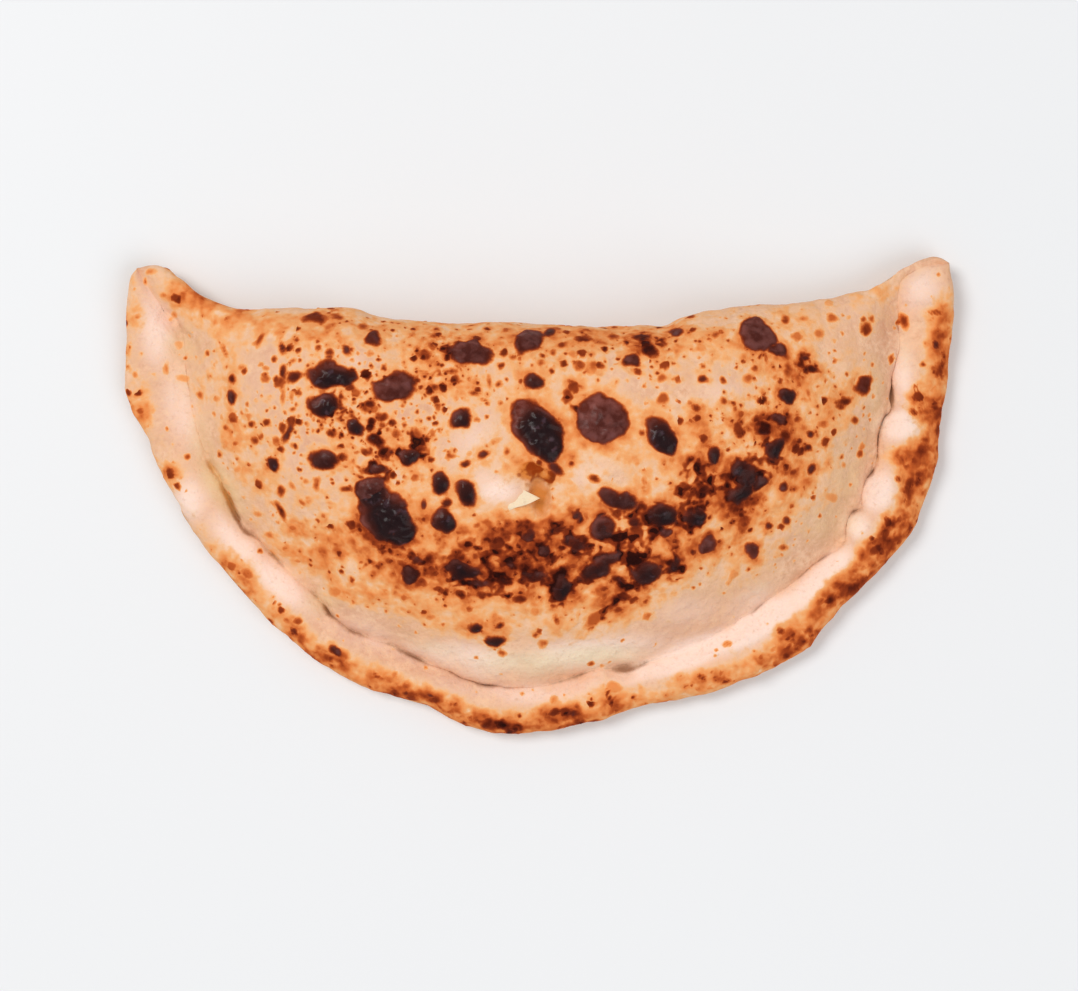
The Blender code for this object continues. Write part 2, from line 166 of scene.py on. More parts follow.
# Scorches that lie flat in the skin: place, half length, half width, turn and how far each is burnt.
SCORCHES = (
    (-82.4, 40.2, 2.8, 2.0, 10, 0.75), (-66.7, 12.4, 2.2, 1.3, 25, 0.65), (-8.6, -23.8, 2.4, 1.7, 0, 0.80),
    (-77.0, 60.6, 5.3, 2.3, 0, 0.66), (-68.8, 61.6, 3.1, 1.2, 0, 0.55), (-108.2, 49.7, 3.2, 1.0, -65, 0.50),
    (-95.3, 53.1, 2.8, 1.2, 70, 0.55), (-96.8, 52.0, 1.3, 0.8, 20, 0.50), (-87.1, 50.4, 2.5, 1.0, -75, 0.78),
    (-77.6, 53.1, 2.8, 1.2, 0, 0.42), (-65.4, 49.4, 2.0, 1.1, -70, 0.87), (-59.9, 57.9, 1.8, 1.4, 0, 0.55),
    (-70.8, 47.7, 1.7, 1.6, 0, 0.62), (-83.4, 45.6, 1.4, 1.0, 30, 0.50), (-86.8, 41.5, 2.4, 1.3, -80, 0.78),
    (-86.8, 33.4, 2.4, 0.8, 90, 0.50), (-83.7, 33.4, 1.4, 0.9, 90, 0.50), (-83.3, 28.6, 1.1, 1.0, 0, 0.60),
    (-66.5, 29.3, 1.3, 0.9, 0, 0.80), (-56.8, 30.7, 1.4, 1.2, 0, 0.65), (-53.1, 26.5, 2.0, 1.5, -15, 0.62),
    (-85.1, 21.4, 3.6, 1.0, 60, 0.87), (-49.7, 14.6, 1.5, 0.9, -25, 0.70), (-69.8, 20.8, 1.5, 1.4, 0, 0.50),
    (-84.0, 17.4, 0.9, 0.9, 0, 0.45), (-117.8, 34.4, 1.5, 1.4, 0, 0.50), (-111.7, 33.1, 1.6, 1.3, 0, 0.30),
    (-107.9, 23.5, 1.2, 0.9, 90, 0.50), (-98.4, 24.1, 1.4, 1.3, 0, 0.55), (-104.2, 17.7, 1.2, 1.0, 0, 0.55),
    (-97.7, 18.4, 1.6, 1.2, 90, 0.58), (-101.1, 43.9, 1.5, 1.0, 0, 0.42), (-123.9, 40.8, 3.0, 1.8, 0, 0.25),
    (-139.9, 62.6, 1.3, 1.2, 0, 0.45), (-128.0, 62.6, 1.2, 1.0, 0, 0.40), (-140.6, 41.5, 1.2, 1.0, 0, 0.45),
    (-129.7, 44.3, 1.9, 0.8, 90, 0.40), (-139.2, 29.3, 1.7, 1.5, 0, 0.55), (-128.4, 7.8, 2.0, 1.9, 0, 0.52),
    (-137.2, 74.5, 1.2, 0.8, 90, 0.50), (-134.8, 77.6, 2.0, 0.8, 0, 0.40), (-130.0, 69.8, 1.2, 1.0, 0, 0.40),
    (-88.5, 1.4, 2.2, 1.3, 90, 0.62), (-84.4, 3.4, 1.9, 0.8, -60, 0.45), (-75.6, 3.4, 2.6, 1.2, 80, 0.55),
    (-79.0, 4.4, 1.0, 0.9, 0, 0.45), (-89.2, -5.9, 4.0, 1.3, -60, 0.72), (-65.4, 1.7, 1.7, 1.2, 0, 0.60),
    (-47.7, 20.8, 2.0, 1.6, 0, 0.50), (-51.1, 21.8, 1.0, 1.0, 0, 0.45), (-38.7, 47.5, 2.8, 1.7, 0, 0.50),
    (-29.6, 41.5, 2.7, 1.1, -8, 0.62), (-38.7, 41.8, 1.8, 1.0, 0, 0.50), (-27.6, 38.3, 3.6, 0.8, -5, 0.50),
    (-35.6, 36.6, 1.3, 1.0, 0, 0.55), (-35.6, 32.7, 1.4, 1.1, 0, 0.55), (-16.6, 38.3, 2.2, 0.8, 90, 0.55),
    (-13.1, 37.3, 1.3, 1.2, 0, 0.55), (-21.9, 34.1, 2.3, 1.0, -8, 0.60), (-13.1, 31.0, 1.0, 1.0, 0, 0.50),
    (1.0, 44.3, 1.4, 1.1, 0, 0.50), (5.5, 47.9, 1.4, 1.2, 60, 0.50), (7.9, 50.6, 1.3, 1.3, 0, 0.55),
    (-8.6, 46.8, 1.3, 1.2, 0, 0.45), (-11.0, 55.5, 1.5, 1.4, 0, 0.50), (12.9, 37.3, 3.0, 0.8, -30, 0.55),
    (15.7, 53.5, 3.4, 1.4, 8, 0.60), (17.5, 43.3, 3.0, 2.8, 0, 0.30), (35.1, 53.5, 3.8, 1.7, -8, 0.65),
    (25.8, 54.5, 2.8, 1.3, 0, 0.55), (38.2, 48.9, 2.8, 2.2, -40, 0.72), (47.0, 55.6, 2.9, 1.8, 0, 0.78),
    (55.4, 38.7, 1.8, 1.5, 0, 0.78), (53.3, 28.9, 1.8, 1.3, -15, 0.60), (42.0, 32.0, 2.1, 2.0, 0, 0.50),
    (41.7, 39.1, 1.8, 1.6, 0, 0.45), (34.7, 20.8, 1.5, 1.4, 0, 0.60), (-41.7, 20.0, 3.0, 2.3, 80, 0.48),
    (-24.7, 10.6, 1.8, 1.3, 30, 0.77), (-18.4, 13.1, 2.1, 1.4, 30, 0.78), (-23.3, 14.1, 0.9, 0.8, 0, 0.40),
    (-14.5, 18.3, 2.8, 1.0, 15, 0.33), (-11.0, 14.8, 1.5, 1.1, 80, 0.52), (-38.7, -3.1, 2.1, 1.0, 90, 0.80),
    (-2.9, 9.5, 3.4, 1.5, -8, 0.58), (19.3, 5.0, 1.8, 1.4, 0, 0.66), (12.9, -7.0, 2.2, 1.7, -35, 0.77),
    (32.3, -9.4, 2.8, 2.0, 0, 0.82), (35.8, 4.6, 1.6, 1.1, 90, 0.50), (33.0, 9.9, 1.2, 1.2, 0, 0.30),
    (54.1, 9.5, 1.8, 1.3, 90, 0.60), (49.1, 0.4, 3.6, 2.6, 20, 0.45), (6.2, -11.6, 3.8, 1.8, 0, 0.72),
    (-20.8, -10.2, 2.1, 1.4, 0, 0.50), (-14.1, -16.5, 2.8, 2.7, 0, 0.66), (2.1, -18.9, 2.8, 2.4, 0, 0.82),
    (11.9, -16.5, 5.4, 2.1, -5, 0.80), (77.5, 45.7, 2.1, 0.9, 90, 0.60), (60.3, 54.1, 1.8, 1.3, 40, 0.48),
    (84.6, 60.0, 1.8, 1.5, -30, 0.55), (90.9, 60.8, 1.8, 1.4, 0, 0.35), (100.7, 61.5, 2.2, 1.8, 0, 0.45),
    (107.0, 61.5, 1.0, 1.0, 0, 0.30), (113.0, 58.0, 2.8, 2.0, 60, 0.62), (96.4, 55.5, 2.1, 1.7, 0, 0.40),
    (91.6, 46.5, 1.5, 1.4, 0, 0.78), (93.7, 42.8, 2.8, 1.6, 0, 0.75), (91.6, 42.0, 1.4, 1.3, 0, 0.77),
    (88.9, 37.5, 3.6, 0.7, -60, 0.50), (92.3, 34.1, 2.8, 0.8, -70, 0.50), (71.2, 39.3, 2.1, 1.7, 0, 0.40),
    (103.5, 30.2, 1.7, 1.5, 0, 0.65), (109.2, 24.9, 1.9, 1.6, 0, 0.56), (127.1, 60.8, 2.6, 1.4, -70, 0.62),
    (139.4, 62.9, 3.8, 1.5, 0, 0.55), (138.3, 52.0, 2.2, 1.7, 80, 0.87), (140.4, 46.4, 2.0, 1.0, 90, 0.60),
    (130.5, 28.8, 1.8, 1.5, 0, 0.60), (62.0, 31.6, 1.5, 1.3, 60, 0.56), (66.1, 28.8, 1.4, 0.8, 70, 0.45),
    (88.8, 25.3, 2.1, 1.3, 0, 0.56), (97.1, 24.2, 2.8, 1.4, 0, 0.45), (67.7, 21.8, 3.4, 2.2, 80, 0.55),
    (92.6, 20.7, 1.6, 1.3, 0, 0.76), (88.8, 18.3, 1.4, 1.1, 0, 0.66), (92.3, 15.8, 1.7, 1.5, 0, 0.86),
    (98.5, 17.6, 2.4, 0.8, 90, 0.55), (93.3, 8.1, 2.1, 1.6, 70, 0.77), (83.8, 2.4, 2.1, 2.0, 0, 0.77),
    (87.4, 7.7, 2.4, 1.2, 30, 0.50), (56.8, 1.4, 3.6, 2.6, 60, 0.66), (47.9, 1.4, 3.0, 2.6, 0, 0.50),
    (70.2, -9.9, 3.6, 2.3, 80, 0.52), (78.9, -10.6, 1.5, 1.2, 0, 0.76), (84.9, -8.8, 1.6, 1.2, 0, 0.82),
    (84.6, -18.3, 1.4, 1.0, 0, 0.60), (52.2, -19.6, 1.4, 1.3, 0, 0.70), (106.0, 10.2, 1.4, 1.2, 0, 0.35),
    (101.1, -0.7, 2.8, 2.0, 0, 0.28), (132.4, 12.6, 4.0, 2.2, 80, 0.52), (125.3, 5.6, 1.6, 1.3, 0, 0.60),
    (130.2, 2.8, 2.0, 1.6, 0, 0.60), (127.8, -2.1, 1.7, 1.6, 0, 0.60), (136.6, 26.7, 2.0, 1.3, 80, 0.50),
    (125.3, -9.2, 2.4, 1.3, 70, 0.56), (121.1, -14.1, 2.4, 2.0, 0, 0.56), (117.6, -19.0, 4.1, 1.9, 20, 0.62),
    (106.4, -33.1, 2.6, 2.2, 0, 0.56), (98.2, -37.9, 3.0, 1.8, 40, 0.5), (84.6, -47.9, 2.0, 1.7, 0, 0.60),
    (86.7, -53.5, 4.0, 1.2, 40, 0.60), (57.2, -63.4, 1.6, 1.2, 0, 0.66), (60.3, -62.0, 0.9, 0.9, 0, 0.50),
    (65.6, -52.1, 1.4, 0.9, 20, 0.50), (-26.5, -34.0, 2.1, 1.7, 0, 0.66), (-31.7, -33.6, 2.8, 1.3, 80, 0.45),
    (-19.4, -34.3, 2.4, 1.5, 0, 0.60), (-6.5, -35.4, 2.8, 1.7, 0, 0.66), (6.2, -42.4, 2.1, 1.2, -75, 0.55),
    (-11.4, -29.3, 2.1, 1.7, 0, 0.76), (27.2, -29.3, 3.4, 1.3, -20, 0.72), (22.4, -32.2, 1.8, 1.5, 0, 0.56),
    (28.7, -35.0, 2.5, 2.2, 0, 0.66), (19.6, -42.7, 5.6, 2.2, 38, 0.48), (27.2, -40.0, 2.2, 1.4, 0, 0.60),
    (-12.4, -54.7, 1.3, 1.0, 0, 0.60), (-37.0, -42.0, 2.1, 1.2, 0, 0.40), (-1.1, -48.4, 1.2, 1.2, 0, 0.55),
    (1.3, -51.2, 1.7, 1.2, 35, 0.50), (-37.7, -70.2, 2.3, 1.1, -25, 0.80), (-29.3, -72.7, 1.2, 1.1, 0, 0.60),
    (-46.5, -69.5, 1.7, 1.1, -20, 0.80), (-19.0, -78.6, 2.0, 0.8, -20, 0.60), (5.5, -76.1, 2.9, 1.7, 10, 0.68),
    (11.0, -76.1, 2.2, 1.5, 0, 0.75), (5.2, -72.3, 1.5, 1.4, 0, 0.35), (23.8, -69.8, 2.0, 1.0, 90, 0.70),
    (26.5, -67.8, 3.4, 3.0, 0, 0.30), (-85.2, -47.9, 2.1, 1.1, -55, 0.78), (-87.7, -43.7, 1.7, 1.2, 0, 0.45),
    (-71.2, -54.9, 2.6, 1.9, -20, 0.80), (-56.1, -63.7, 1.4, 1.1, 0, 0.60), (-102.4, -27.6, 2.8, 2.6, 0, 0.42),
    (-93.3, -14.1, 1.7, 1.3, 0, 0.40), (-88.0, -19.1, 1.2, 1.0, 0, 0.45), (-97.5, -7.1, 1.4, 1.2, 0, 0.35),
    (-103.5, 9.0, 1.4, 1.3, 0, 0.30), (-70.4, -33.1, 2.6, 2.2, 0, 0.35), (-50.8, -22.6, 1.5, 1.4, 0, 0.55),
)

# Soft patches of tone: place, reach along X and Y in mm, turn in degrees and strength. The golden ones are where
# the oven's heat was strongest, the floury ones kept their dusting, and the olive ones took up oil and also stand
# for painted shade in the hollows next to the rim.
GOLDEN = (
    (-6, 54, 60, 6, 0, 0.4), (-37, 52, 14, 8, 0, 0.55), (-76, 56, 18, 7, 0, 0.45), (-27, 38, 14, 8, 0, 0.3),
    (22, 40, 34, 8, 0, 0.3), (60, 26, 20, 14, 0, 0.5), (56, 8, 13, 9, 0, 0.8), (-64, 38, 26, 12, 0, 0.12), (14, 24, 34, 14, 0, 0.5),
    (-60, 14, 24, 14, 0, 0.2), (40, 0, 22, 10, 0, 0.6), (-34, -8, 26, 12, 0, 0.35), (10, -7, 18, 8, 0, 0.9),
    (-97, 30, 8, 9, 0, 0.3), (-12, 26, 14, 8, 0, 0.2), (16, 14, 20, 10, 0, 0.5), (-30, -26, 30, 12, 0, 0.7),
    (72, 50, 12, 9, 0, 0.5), (102, 34, 12, 14, 0, 0.45), (-112, 60, 12, 9, -20, 0.4), (-26, 8, 16, 12, 0, 0.25),
    (36, -20, 26, 12, 0, 0.7), (-98, 8, 10, 12, 0, 0.35), (-72, -8, 14, 12, 0, 0.25), (34, 52, 18, 7, 0, 0.6),
    (86, 43, 15, 12, 0, 0.6), (78, 22, 18, 12, 0, 0.65), (45, 19, 12, 8, 0, 0.2), (-38, -22, 20, 10, 0, 0.7),
    (-17, -23, 20, 12, 0, 1.0), (4, -22, 22, 13, 0, 1.0), (24, -33, 20, 11, 0, 0.85), (45, -19, 18, 12, 0, 0.8),
    (66, -2, 17, 15, 0, 0.9), (86, 5, 13, 12, 0, 0.55), (66, -19, 13, 9, 0, 0.5), (-58, -17, 18, 11, 0, 0.7),
    (-76, -17, 16, 12, 0, 0.8), (-54, -32, 18, 9, 0, 0.75), (-41, 15, 10, 9, 0, 0.4), (-103, 21, 7, 8, 0, 0.5),
    (-17, -45, 18, 9, 0, 0.45), (7, -44, 16, 8, 0, 0.35), (24, -45, 12, 7, 0, 0.4), (3, 6, 9, 6, 0, 0.6),
    (-114, 67, 14, 8, -25, 1.1), (-112, 38, 13, 15, 0, 0.3), (-4, 9, 16, 5, 0, 0.6), (-8, -12, 16, 6, 0, 1.0), (120, 71, 12, 5, 25, 0.4), (108, -34, 13, 8, 45, 1.1), (92, -52, 12, 7, 35, 0.9), (119, -17, 12, 5, 50, 0.6),
    (131, 5, 6, 16, 0, 0.7), (127, 14, 8, 3.4, 0, 0.9), (128, 33, 5, 5, 0, 0.35), (-36, -73, 18, 4, -18, 0.7), (10, -78, 22, 4, 8, 0.5), (-70, -58, 14, 4, -32, 0.4),
    (-139, 28, 4, 12, -15, 0.3), (-128, 8, 5, 5, 0, 0.5), (141, 55, 4, 14, 0, 0.5), (-124, 40, 5, 4, 0, 0.3),
    (80, -58, 12, 4, 30, 0.5), (-55, 5, 16, 10, 0, 0.25), (20, 15, 22, 8, 0, 0.2), (-92, 57, 14, 7, 0, 0.35),
)
FLOURY = (
    (-134, 57, 7, 14, 0, 0.7), (-122, -2, 7, 9, 0, 0.9), (-106, -17, 15, 6, -48, 0.75), (-91, -31, 13, 6, -44, 0.85),
    (-124, 30, 12, 16, 0, 0.45), (4, -71, 20, 4, 0, 0.45), (-17, -60, 13, 6, 0, 0.5), (21, -58, 24, 5, 0, 0.4),
    (52, -56, 22, 6, 22, 1.0), (76, -46, 18, 6, 32, 1.0), (97, -32, 15, 5, 40, 0.85), (118, 1, 6, 7, 0, 1.1),
    (126, 24, 8, 5, 0, 1.2), (111, -11, 5, 5, 0, 0.9), (-14, 1, 9, 6, 0, 0.8), (104, -24, 7, 5, 40, 0.8), (135, 71, 9, 9, 0, 0.55), (127, 42, 5, 14, 0, 0.6),
    (-21, 18, 13, 14, -30, 0.55), (-17, 5, 9, 6, 0, 0.5), (17, 7, 13, 6, 0, 0.55), (62, 34, 12, 7, 0, 0.5),
    (28, 38, 12, 8, 0, 0.3), (-92, 40, 14, 16, 0, 0.3), (-86, 12, 12, 12, 0, 0.3), (-75, -10, 12, 8, 0, 0.25),
    (50, 2, 8, 5, 0, 0.2), (-60, -47, 16, 6, -25, 0.4), (-35, -57, 12, 4, -20, 0.35), (105, 62, 14, 6, 10, 0.3),
    (-62, 45, 5, 4, 0, 0.5), (75, -61, 3, 2.5, 0, 1.2), (50, -40, 18, 8, 10, 0.45), (-70, 27, 16, 6, 0, 0.3),
    (-22, -56, 26, 6, -8, 0.7), (18, -54, 28, 7, 5, 0.9), (74, -37, 16, 7, 35, 0.5), (-6, -68, 40, 5, 0, 0.35),
)
OLIVE_OIL_AND_SHADE = (
    (106, 8, 9, 18, 0, 0.5), (99, -9, 16, 11, 0, 0.45), (79, -29, 17, 9, 30, 0.3), (117, 34, 6, 18, 0, 0.5),
    (-110, 3, 6, 15, 35, 0.9), (-117, 20, 7, 13, 0, 0.45), (-124, 52, 8, 9, 0, 0.5), (21, -56, 22, 6, 0, 0.5),
    (-75, -37, 8, 7, 0, 0.55), (-38, -52, 18, 5, -20, 0.35), (55, -31, 14, 8, 0, 0.35), (62, 43, 8, 6, 0, 0.35),
    (-122, 40, 10, 12, 0, 0.3), (-4, -58, 22, 7, 0, 0.5), (128, 52, 4, 14, 0, 0.35), (-55, 30, 6, 5, 0, 0.2),
)
# Where the skin is most freckled, in the same terms.
FRECKLED = (
    (-62, 26, 30, 26, 0, 0.9), (0, 48, 80, 10, 0, 0.4), (78, 30, 24, 26, 0, 0.5), (-31, 42, 18, 13, 0, 0.7),
    (0, -28, 50, 14, 0, 0.4), (60, -4, 26, 16, 0, 0.35), (-50, -16, 26, 14, 0, 0.3), (36, 48, 20, 10, 0, 0.4),
)
# Where the skin is scorched through in ragged patches, in the same terms.
SCORCHED = (
    (-26, -27, 7, 4.5, -15, 1.0), (-11, -22, 5.5, 3.2, 10, 0.95), (-12.5, -29.5, 5.5, 3.2, 0, 0.9),
    (-19, -18, 7, 4, 0, 0.65), (-3, -14.2, 4, 2.6, 0, 0.8), (2.5, -19.3, 3.4, 3.4, 0, 0.8),
    (6.5, -11.5, 5, 2.6, 10, 0.7), (11.5, -16.6, 7, 3.2, -5, 0.95), (13.3, -6.8, 2.4, 2.6, 0, 0.8),
    (22, -12, 5, 4.5, -30, 1.0), (38, -8, 12, 5, -12, 0.95), (52.5, -7.5, 5, 5, 0, 0.95), (-1.6, -28.4, 7, 3, -5, 0.85),
    (7.5, -32.5, 4.5, 6, 0, 0.95), (18, -26.4, 8, 3.6, 38, 1.0), (31.6, -22, 6, 3.2, -5, 0.95),
    (36.5, -27, 6.5, 5, -20, 0.95), (46, -24.2, 3.4, 5, 15, 0.85), (21, -42, 7, 3, 45, 0.5), (29, -36, 6, 3, 0, 0.55),
    (31, -31, 6, 2.4, -20, 0.6), (57, 2, 3.2, 6.5, -30, 0.75), (49.5, 0.5, 4, 2.5, 0, 0.65), (70, 5, 9, 6.5, 40, 0.85),
    (79, 14, 4, 6, -20, 0.9), (81, 25, 3.5, 2.6, 0, 0.8), (68, 21, 2.6, 4.5, -10, 0.6), (70, -8, 2.4, 5, 10, 0.5),
    (91, 44, 5, 5, 0, 0.6), (-42, -24.5, 5, 5, 0, 0.75), (-41, 18, 4, 7, 15, 0.6), (-52, -18, 7, 4, 20, 0.4),
    (-60, -24, 8, 3, 20, 0.35), (-33, -33, 8, 3, 0, 0.45), (-13, -34, 6, 2.4, 0, 0.45), (2, 6, 5, 2.2, -15, 0.6),
    (-30, 40, 8, 3, -5, 0.4), (-66, 60.5, 12, 2.6, 0, 0.2), (36, 52, 12, 3.4, -5, 0.4), (10, 54, 10, 3, 0, 0.15),
    (22, 45, 5, 4, 0, 0.15), (108, -32, 8, 3.4, 42, 0.12), (119, -18, 6, 3, 40, 0.15), (130, 10, 4, 9, -10, 0.22),
    (88, -51, 6, 2.2, 40, 0.45), (9, -76, 7, 2.2, 5, 0.6), (25, -71, 4, 3.4, 0, 0.3), (140, 61, 4, 2, 0, 0.5),
    (136, 32, 3.4, 6, 0, 0.2), (132, -6, 4, 6, -20, 0.25), (-103, 21, 5, 6, 0, 0.2), (-58, -60, 8, 1.8, -30, 0.25),
    (-12, -80, 12, 1.8, 0, 0.3), (60, -64, 7, 2.6, 10, 0.25), (-101, -28, 3.2, 3.2, 0, 0.25), (125, 60, 2, 4, -15, 0.3),
    (47, -22, 8, 7, 0, 0.35), (30, -14, 12, 5, -8, 0.75), (73, 10, 8, 9, 30, 0.5),
    (53, 5, 6, 9, -15, 0.75), (-54, 10, 9, 7, 0, 0.6), (-32, 13, 7, 5, 0, 0.35), (-66, 30, 12, 9, 0, 0.4), (-32, 50, 10, 4, 0, 0.5),
    (8, 8, 10, 3, 0, 0.3), (11, 32, 6, 5, 0, 0.45), (76, 47, 12, 8, 0, 0.3), (13, 30, 4, 4, 0, 0.4), (-31, -14, 8, 5, 0, 0.3),
    (-8, -21, 24, 12, 0, 0.42), (28, -20, 22, 10, 0, 0.3), (66, 8, 12, 12, 0, 0.2),
)

# How far the rim stands over the body, along the crease from the left horn to the right one: 0 where the two run
# together and 1 where the rim drops sharply.
SEAM = (
    (0, 0), (0.05, 0.08), (0.14, 0.2), (0.18, 0.9), (0.235, 0.9), (0.27, 0.35), (0.31, 0.8), (0.335, 0.7), (0.37, 0.25),
    (0.41, 0.6), (0.455, 0.6), (0.49, 0.25), (0.53, 0.45), (0.575, 0.6), (0.61, 0.2), (0.65, 0.35), (0.69, 0.45),
    (0.73, 0.6), (0.76, 0.9), (0.885, 0.85), (0.91, 0.45), (0.94, 0.35), (0.97, 0.05), (1, 0),
)
# How brown the rim's outer side is, in the same way: real browning, with painted shade where it faces away from the
# light on the right and lower right.
RIM_BROWNING_AND_SHADE = (
    (0, 0.45), (0.05, 0.25), (0.2, 0.3), (0.3, 0.5), (0.37, 0.7), (0.5, 0.85), (0.6, 0.7), (0.66, 0.75), (0.72, 0.95),
    (0.84, 1.0), (0.92, 0.7), (0.97, 0.25), (1, 0.1),
)
SEAM_WANDER = 1.0
STAND = 0.45

# Where steam has burst the skin: the hole's middle, half width, half length and turn, how deep it is, and the ridge
# of browned skin round its upper end, in mm.
VENT = (0.6, -1.4, 3.7, 7.0, 8)
VENT_DEPTH = 2.1
VENT_LIP = (-1.6, 7.0, 5.6, 3.2, -24)
VENT_LIP_RISE = 0.9


def spline(points, samples=900, steps=24):
    """A smooth line through the points, as places evenly spread along it, in mm."""
    knots = np.array(points, float)
    padded = np.vstack([2 * knots[0] - knots[1], knots, 2 * knots[-1] - knots[-2]])
    t = np.linspace(0, 1, steps, endpoint=False)[:, None]
    runs = []
    for a, b, c, d in zip(padded, padded[1:], padded[2:], padded[3:]):
        bend = (2 * a - 5 * b + 4 * c - d) * t**2 + (3 * b - a - 3 * c + d) * t**3
        runs.append(b + 0.5 * ((c - a) * t + bend))
    line = np.vstack([*runs, knots[-1:]])
    along = np.concatenate([[0], np.cumsum(np.linalg.norm(np.diff(line, axis=0), axis=1))])
    wanted = np.linspace(0, along[-1], samples)
    return np.stack([np.interp(wanted, along, line[:, k]) for k in (0, 1)], axis=1)


def at_share(line, share):
    steps = np.linspace(0, 1, len(line))
    return np.stack([np.interp(share, steps, line[:, k]) for k in (0, 1)], axis=-1)


def along_seam(table, share):
    places, values = zip(*table)
    return np.interp(share, places, values)


def distance_to(line, places):
    """How far each place is from a line."""
    tree = kdtree.KDTree(len(line))
    for i, (x, y) in enumerate(line):
        tree.insert((x, y, 0), i)
    tree.balance()
    flat = places.reshape(-1, 2)
    near = np.array([tree.find((x, y, 0))[1] for x, y in flat])
    best = np.full(len(flat), np.inf)
    for side in (-1, 0):
        first = np.clip(near + side, 0, len(line) - 2)
        start, step = line[first], line[first + 1] - line[first]
        part = ((flat - start) * step).sum(1) / (step * step).sum(1)
        foot = start + np.clip(part, 0, 1)[:, None] * step
        best = np.minimum(best, np.linalg.norm(flat - foot, axis=1))
    return best.reshape(places.shape[:-1])


def round_over(share):
    """A quarter ellipse: 0 at the edge, 1 at the shoulder and beyond."""
    return np.sqrt(1 - (1 - np.clip(share, 0, 1)) ** 2)


def smooth(share):
    share = np.clip(share, 0, 1)
    return share * share * (3 - 2 * share)


def waves(places, size, seed):
    """Smooth noise, mostly from -0.7 to 0.7, at 2-D or 3-D places in units of size."""
    flat = places.reshape(-1, places.shape[-1]) / size
    if flat.shape[1] == 2:
        values = [noise.noise(Vector((x, y, seed))) for x, y in flat]
    else:
        values = [noise.noise(Vector((x + seed, y, z))) for x, y, z in flat]
    return np.reshape(values, places.shape[:-1])


def waves_along(share, count, seed):
    return waves(np.stack([share * count, 0 * share], -1), 1.0, seed)


def in_turned(places, x, y, half_length, half_width, turn):
    """How far out each place is in a turned ellipse: 0 in its middle and 1 on its edge."""
    aside, ahead = places[..., 0] - x, places[..., 1] - y
    c, s = np.cos(np.radians(turn)), np.sin(np.radians(turn))
    return np.hypot((aside * c + ahead * s) / half_length, (ahead * c - aside * s) / half_width)


def patches(places, table):
    """Soft patches of tone laid over each other, from 0 to about 1."""
    strongest, total = np.zeros(places.shape[:-1]), np.zeros(places.shape[:-1])
    for x, y, reach_x, reach_y, turn, strength in table:
        patch = strength * np.exp(-(in_turned(places, x, y, reach_x, reach_y, turn) ** 2))
        strongest = np.maximum(strongest, patch)
        total += patch
    return 0.8 * strongest + 0.2 * total


# Grid: columns run from the rim to the fold; rows follow the rim, the body and the fold.
COLUMNS = 430
TIP_COLUMNS = (0.0002, 0.0005, 0.001, 0.0016, 0.0032, 0.0055)
RIM_ROWS = 28
BODY_ROWS = 132
FOLD_ROWS = 30
BASE_RIM_ROWS = 8
BASE_FLAT_ROWS = 7
BASE_FOLD_ROWS = 12

low, high = (np.array(corner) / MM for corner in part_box("calzone"))
edges = [spline(points) for points in (RIM_EDGE, CREASE, FOLD_EDGE)]
outline = np.vstack([edges[0], edges[2]])
drawn_low, drawn_high = outline.min(0), outline.max(0)
to_frame = (high - low)[:2] / (drawn_high - drawn_low)
rim, crease, fold = ((edge - (drawn_low + drawn_high) / 2) * to_frame + (low + high)[:2] / 2 for edge in edges)

share = np.linspace(0, 1, COLUMNS)
share = np.sort(np.concatenate([share, TIP_COLUMNS, 1 - np.array(TIP_COLUMNS)]))
seam = along_seam(SEAM, share)
rim_at, crease_at, fold_at = (at_share(line, share)[:, None] for line in (rim, crease, fold))
outwards = (rim_at - crease_at) / np.maximum(np.linalg.norm(rim_at - crease_at, axis=2, keepdims=True), 1e-3)
wander = SEAM_WANDER * (waves_along(share, 75, 2.5) + 0.6 * waves_along(share, 31, 4.5)) * seam
crease_at = crease_at + outwards * wander[:, None, None]
tips = smooth(share / HORN_SHARE) * smooth((1 - share) / HORN_SHARE)
tip_round = round_over(np.minimum(share, 1 - share) / TIP_SHARE)

roll = np.linspace(0, 1, RIM_ROWS + 1)[:-1]
roll = (1 - np.cos(np.pi * roll)) / 2 * 0.6 + roll**1.3 * 0.4
chord = np.linalg.norm(fold_at - crease_at, axis=2)
shoulder = np.minimum(FOLD_SHOULDER / MM, 0.45 * chord)
turned = np.linspace(0, np.pi / 2, FOLD_ROWS)
fold_part = 1 - (1 - np.sin(turned)) * shoulder / np.maximum(chord, 1e-3)
body_part = fold_part[:, :1] * np.linspace(0, 1, BODY_ROWS + 1)[:-1]
part = np.hstack([body_part, fold_part])[..., None]
top = np.hstack([rim_at + (crease_at - rim_at) * roll[:, None], crease_at + (fold_at - crease_at) * part])
rows = top.shape[1]

# The body's height without its details, then the rim that is rolled over it.
from_fold = distance_to(fold, top)
kernel = np.hanning(81) / np.hanning(81).sum()
padded_crease = np.vstack([np.repeat(crease[:1], 40, 0), crease, np.repeat(crease[-1:], 40, 0)])
calm_crease = np.stack([np.convolve(padded_crease[:, k], kernel, "valid") for k in (0, 1)], 1)
from_crease = distance_to(calm_crease, top)
inside = np.arange(rows) >= RIM_ROWS
fold_bulge = (RIM_BULGE + (FOLD_BULGE - RIM_BULGE) * tips) / MM
full = high[2] + SWELL / MM * waves(top, SWELL_SIZE / MM, 1.5)
full *= 1 - FOLD_SAG * np.exp(-((from_fold / (FOLD_SAG_WIDTH / MM)) ** 2))
slope = 1 - np.exp(-((from_crease / (BODY_SLOPE / MM)) ** BODY_SLOPE_POWER))
body = BODY_START / MM + (full - BODY_START / MM) * slope
edge_round = round_over(from_fold / np.maximum(shoulder, 1e-3))
body = fold_bulge[:, None] + (body - fold_bulge[:, None]) * edge_round

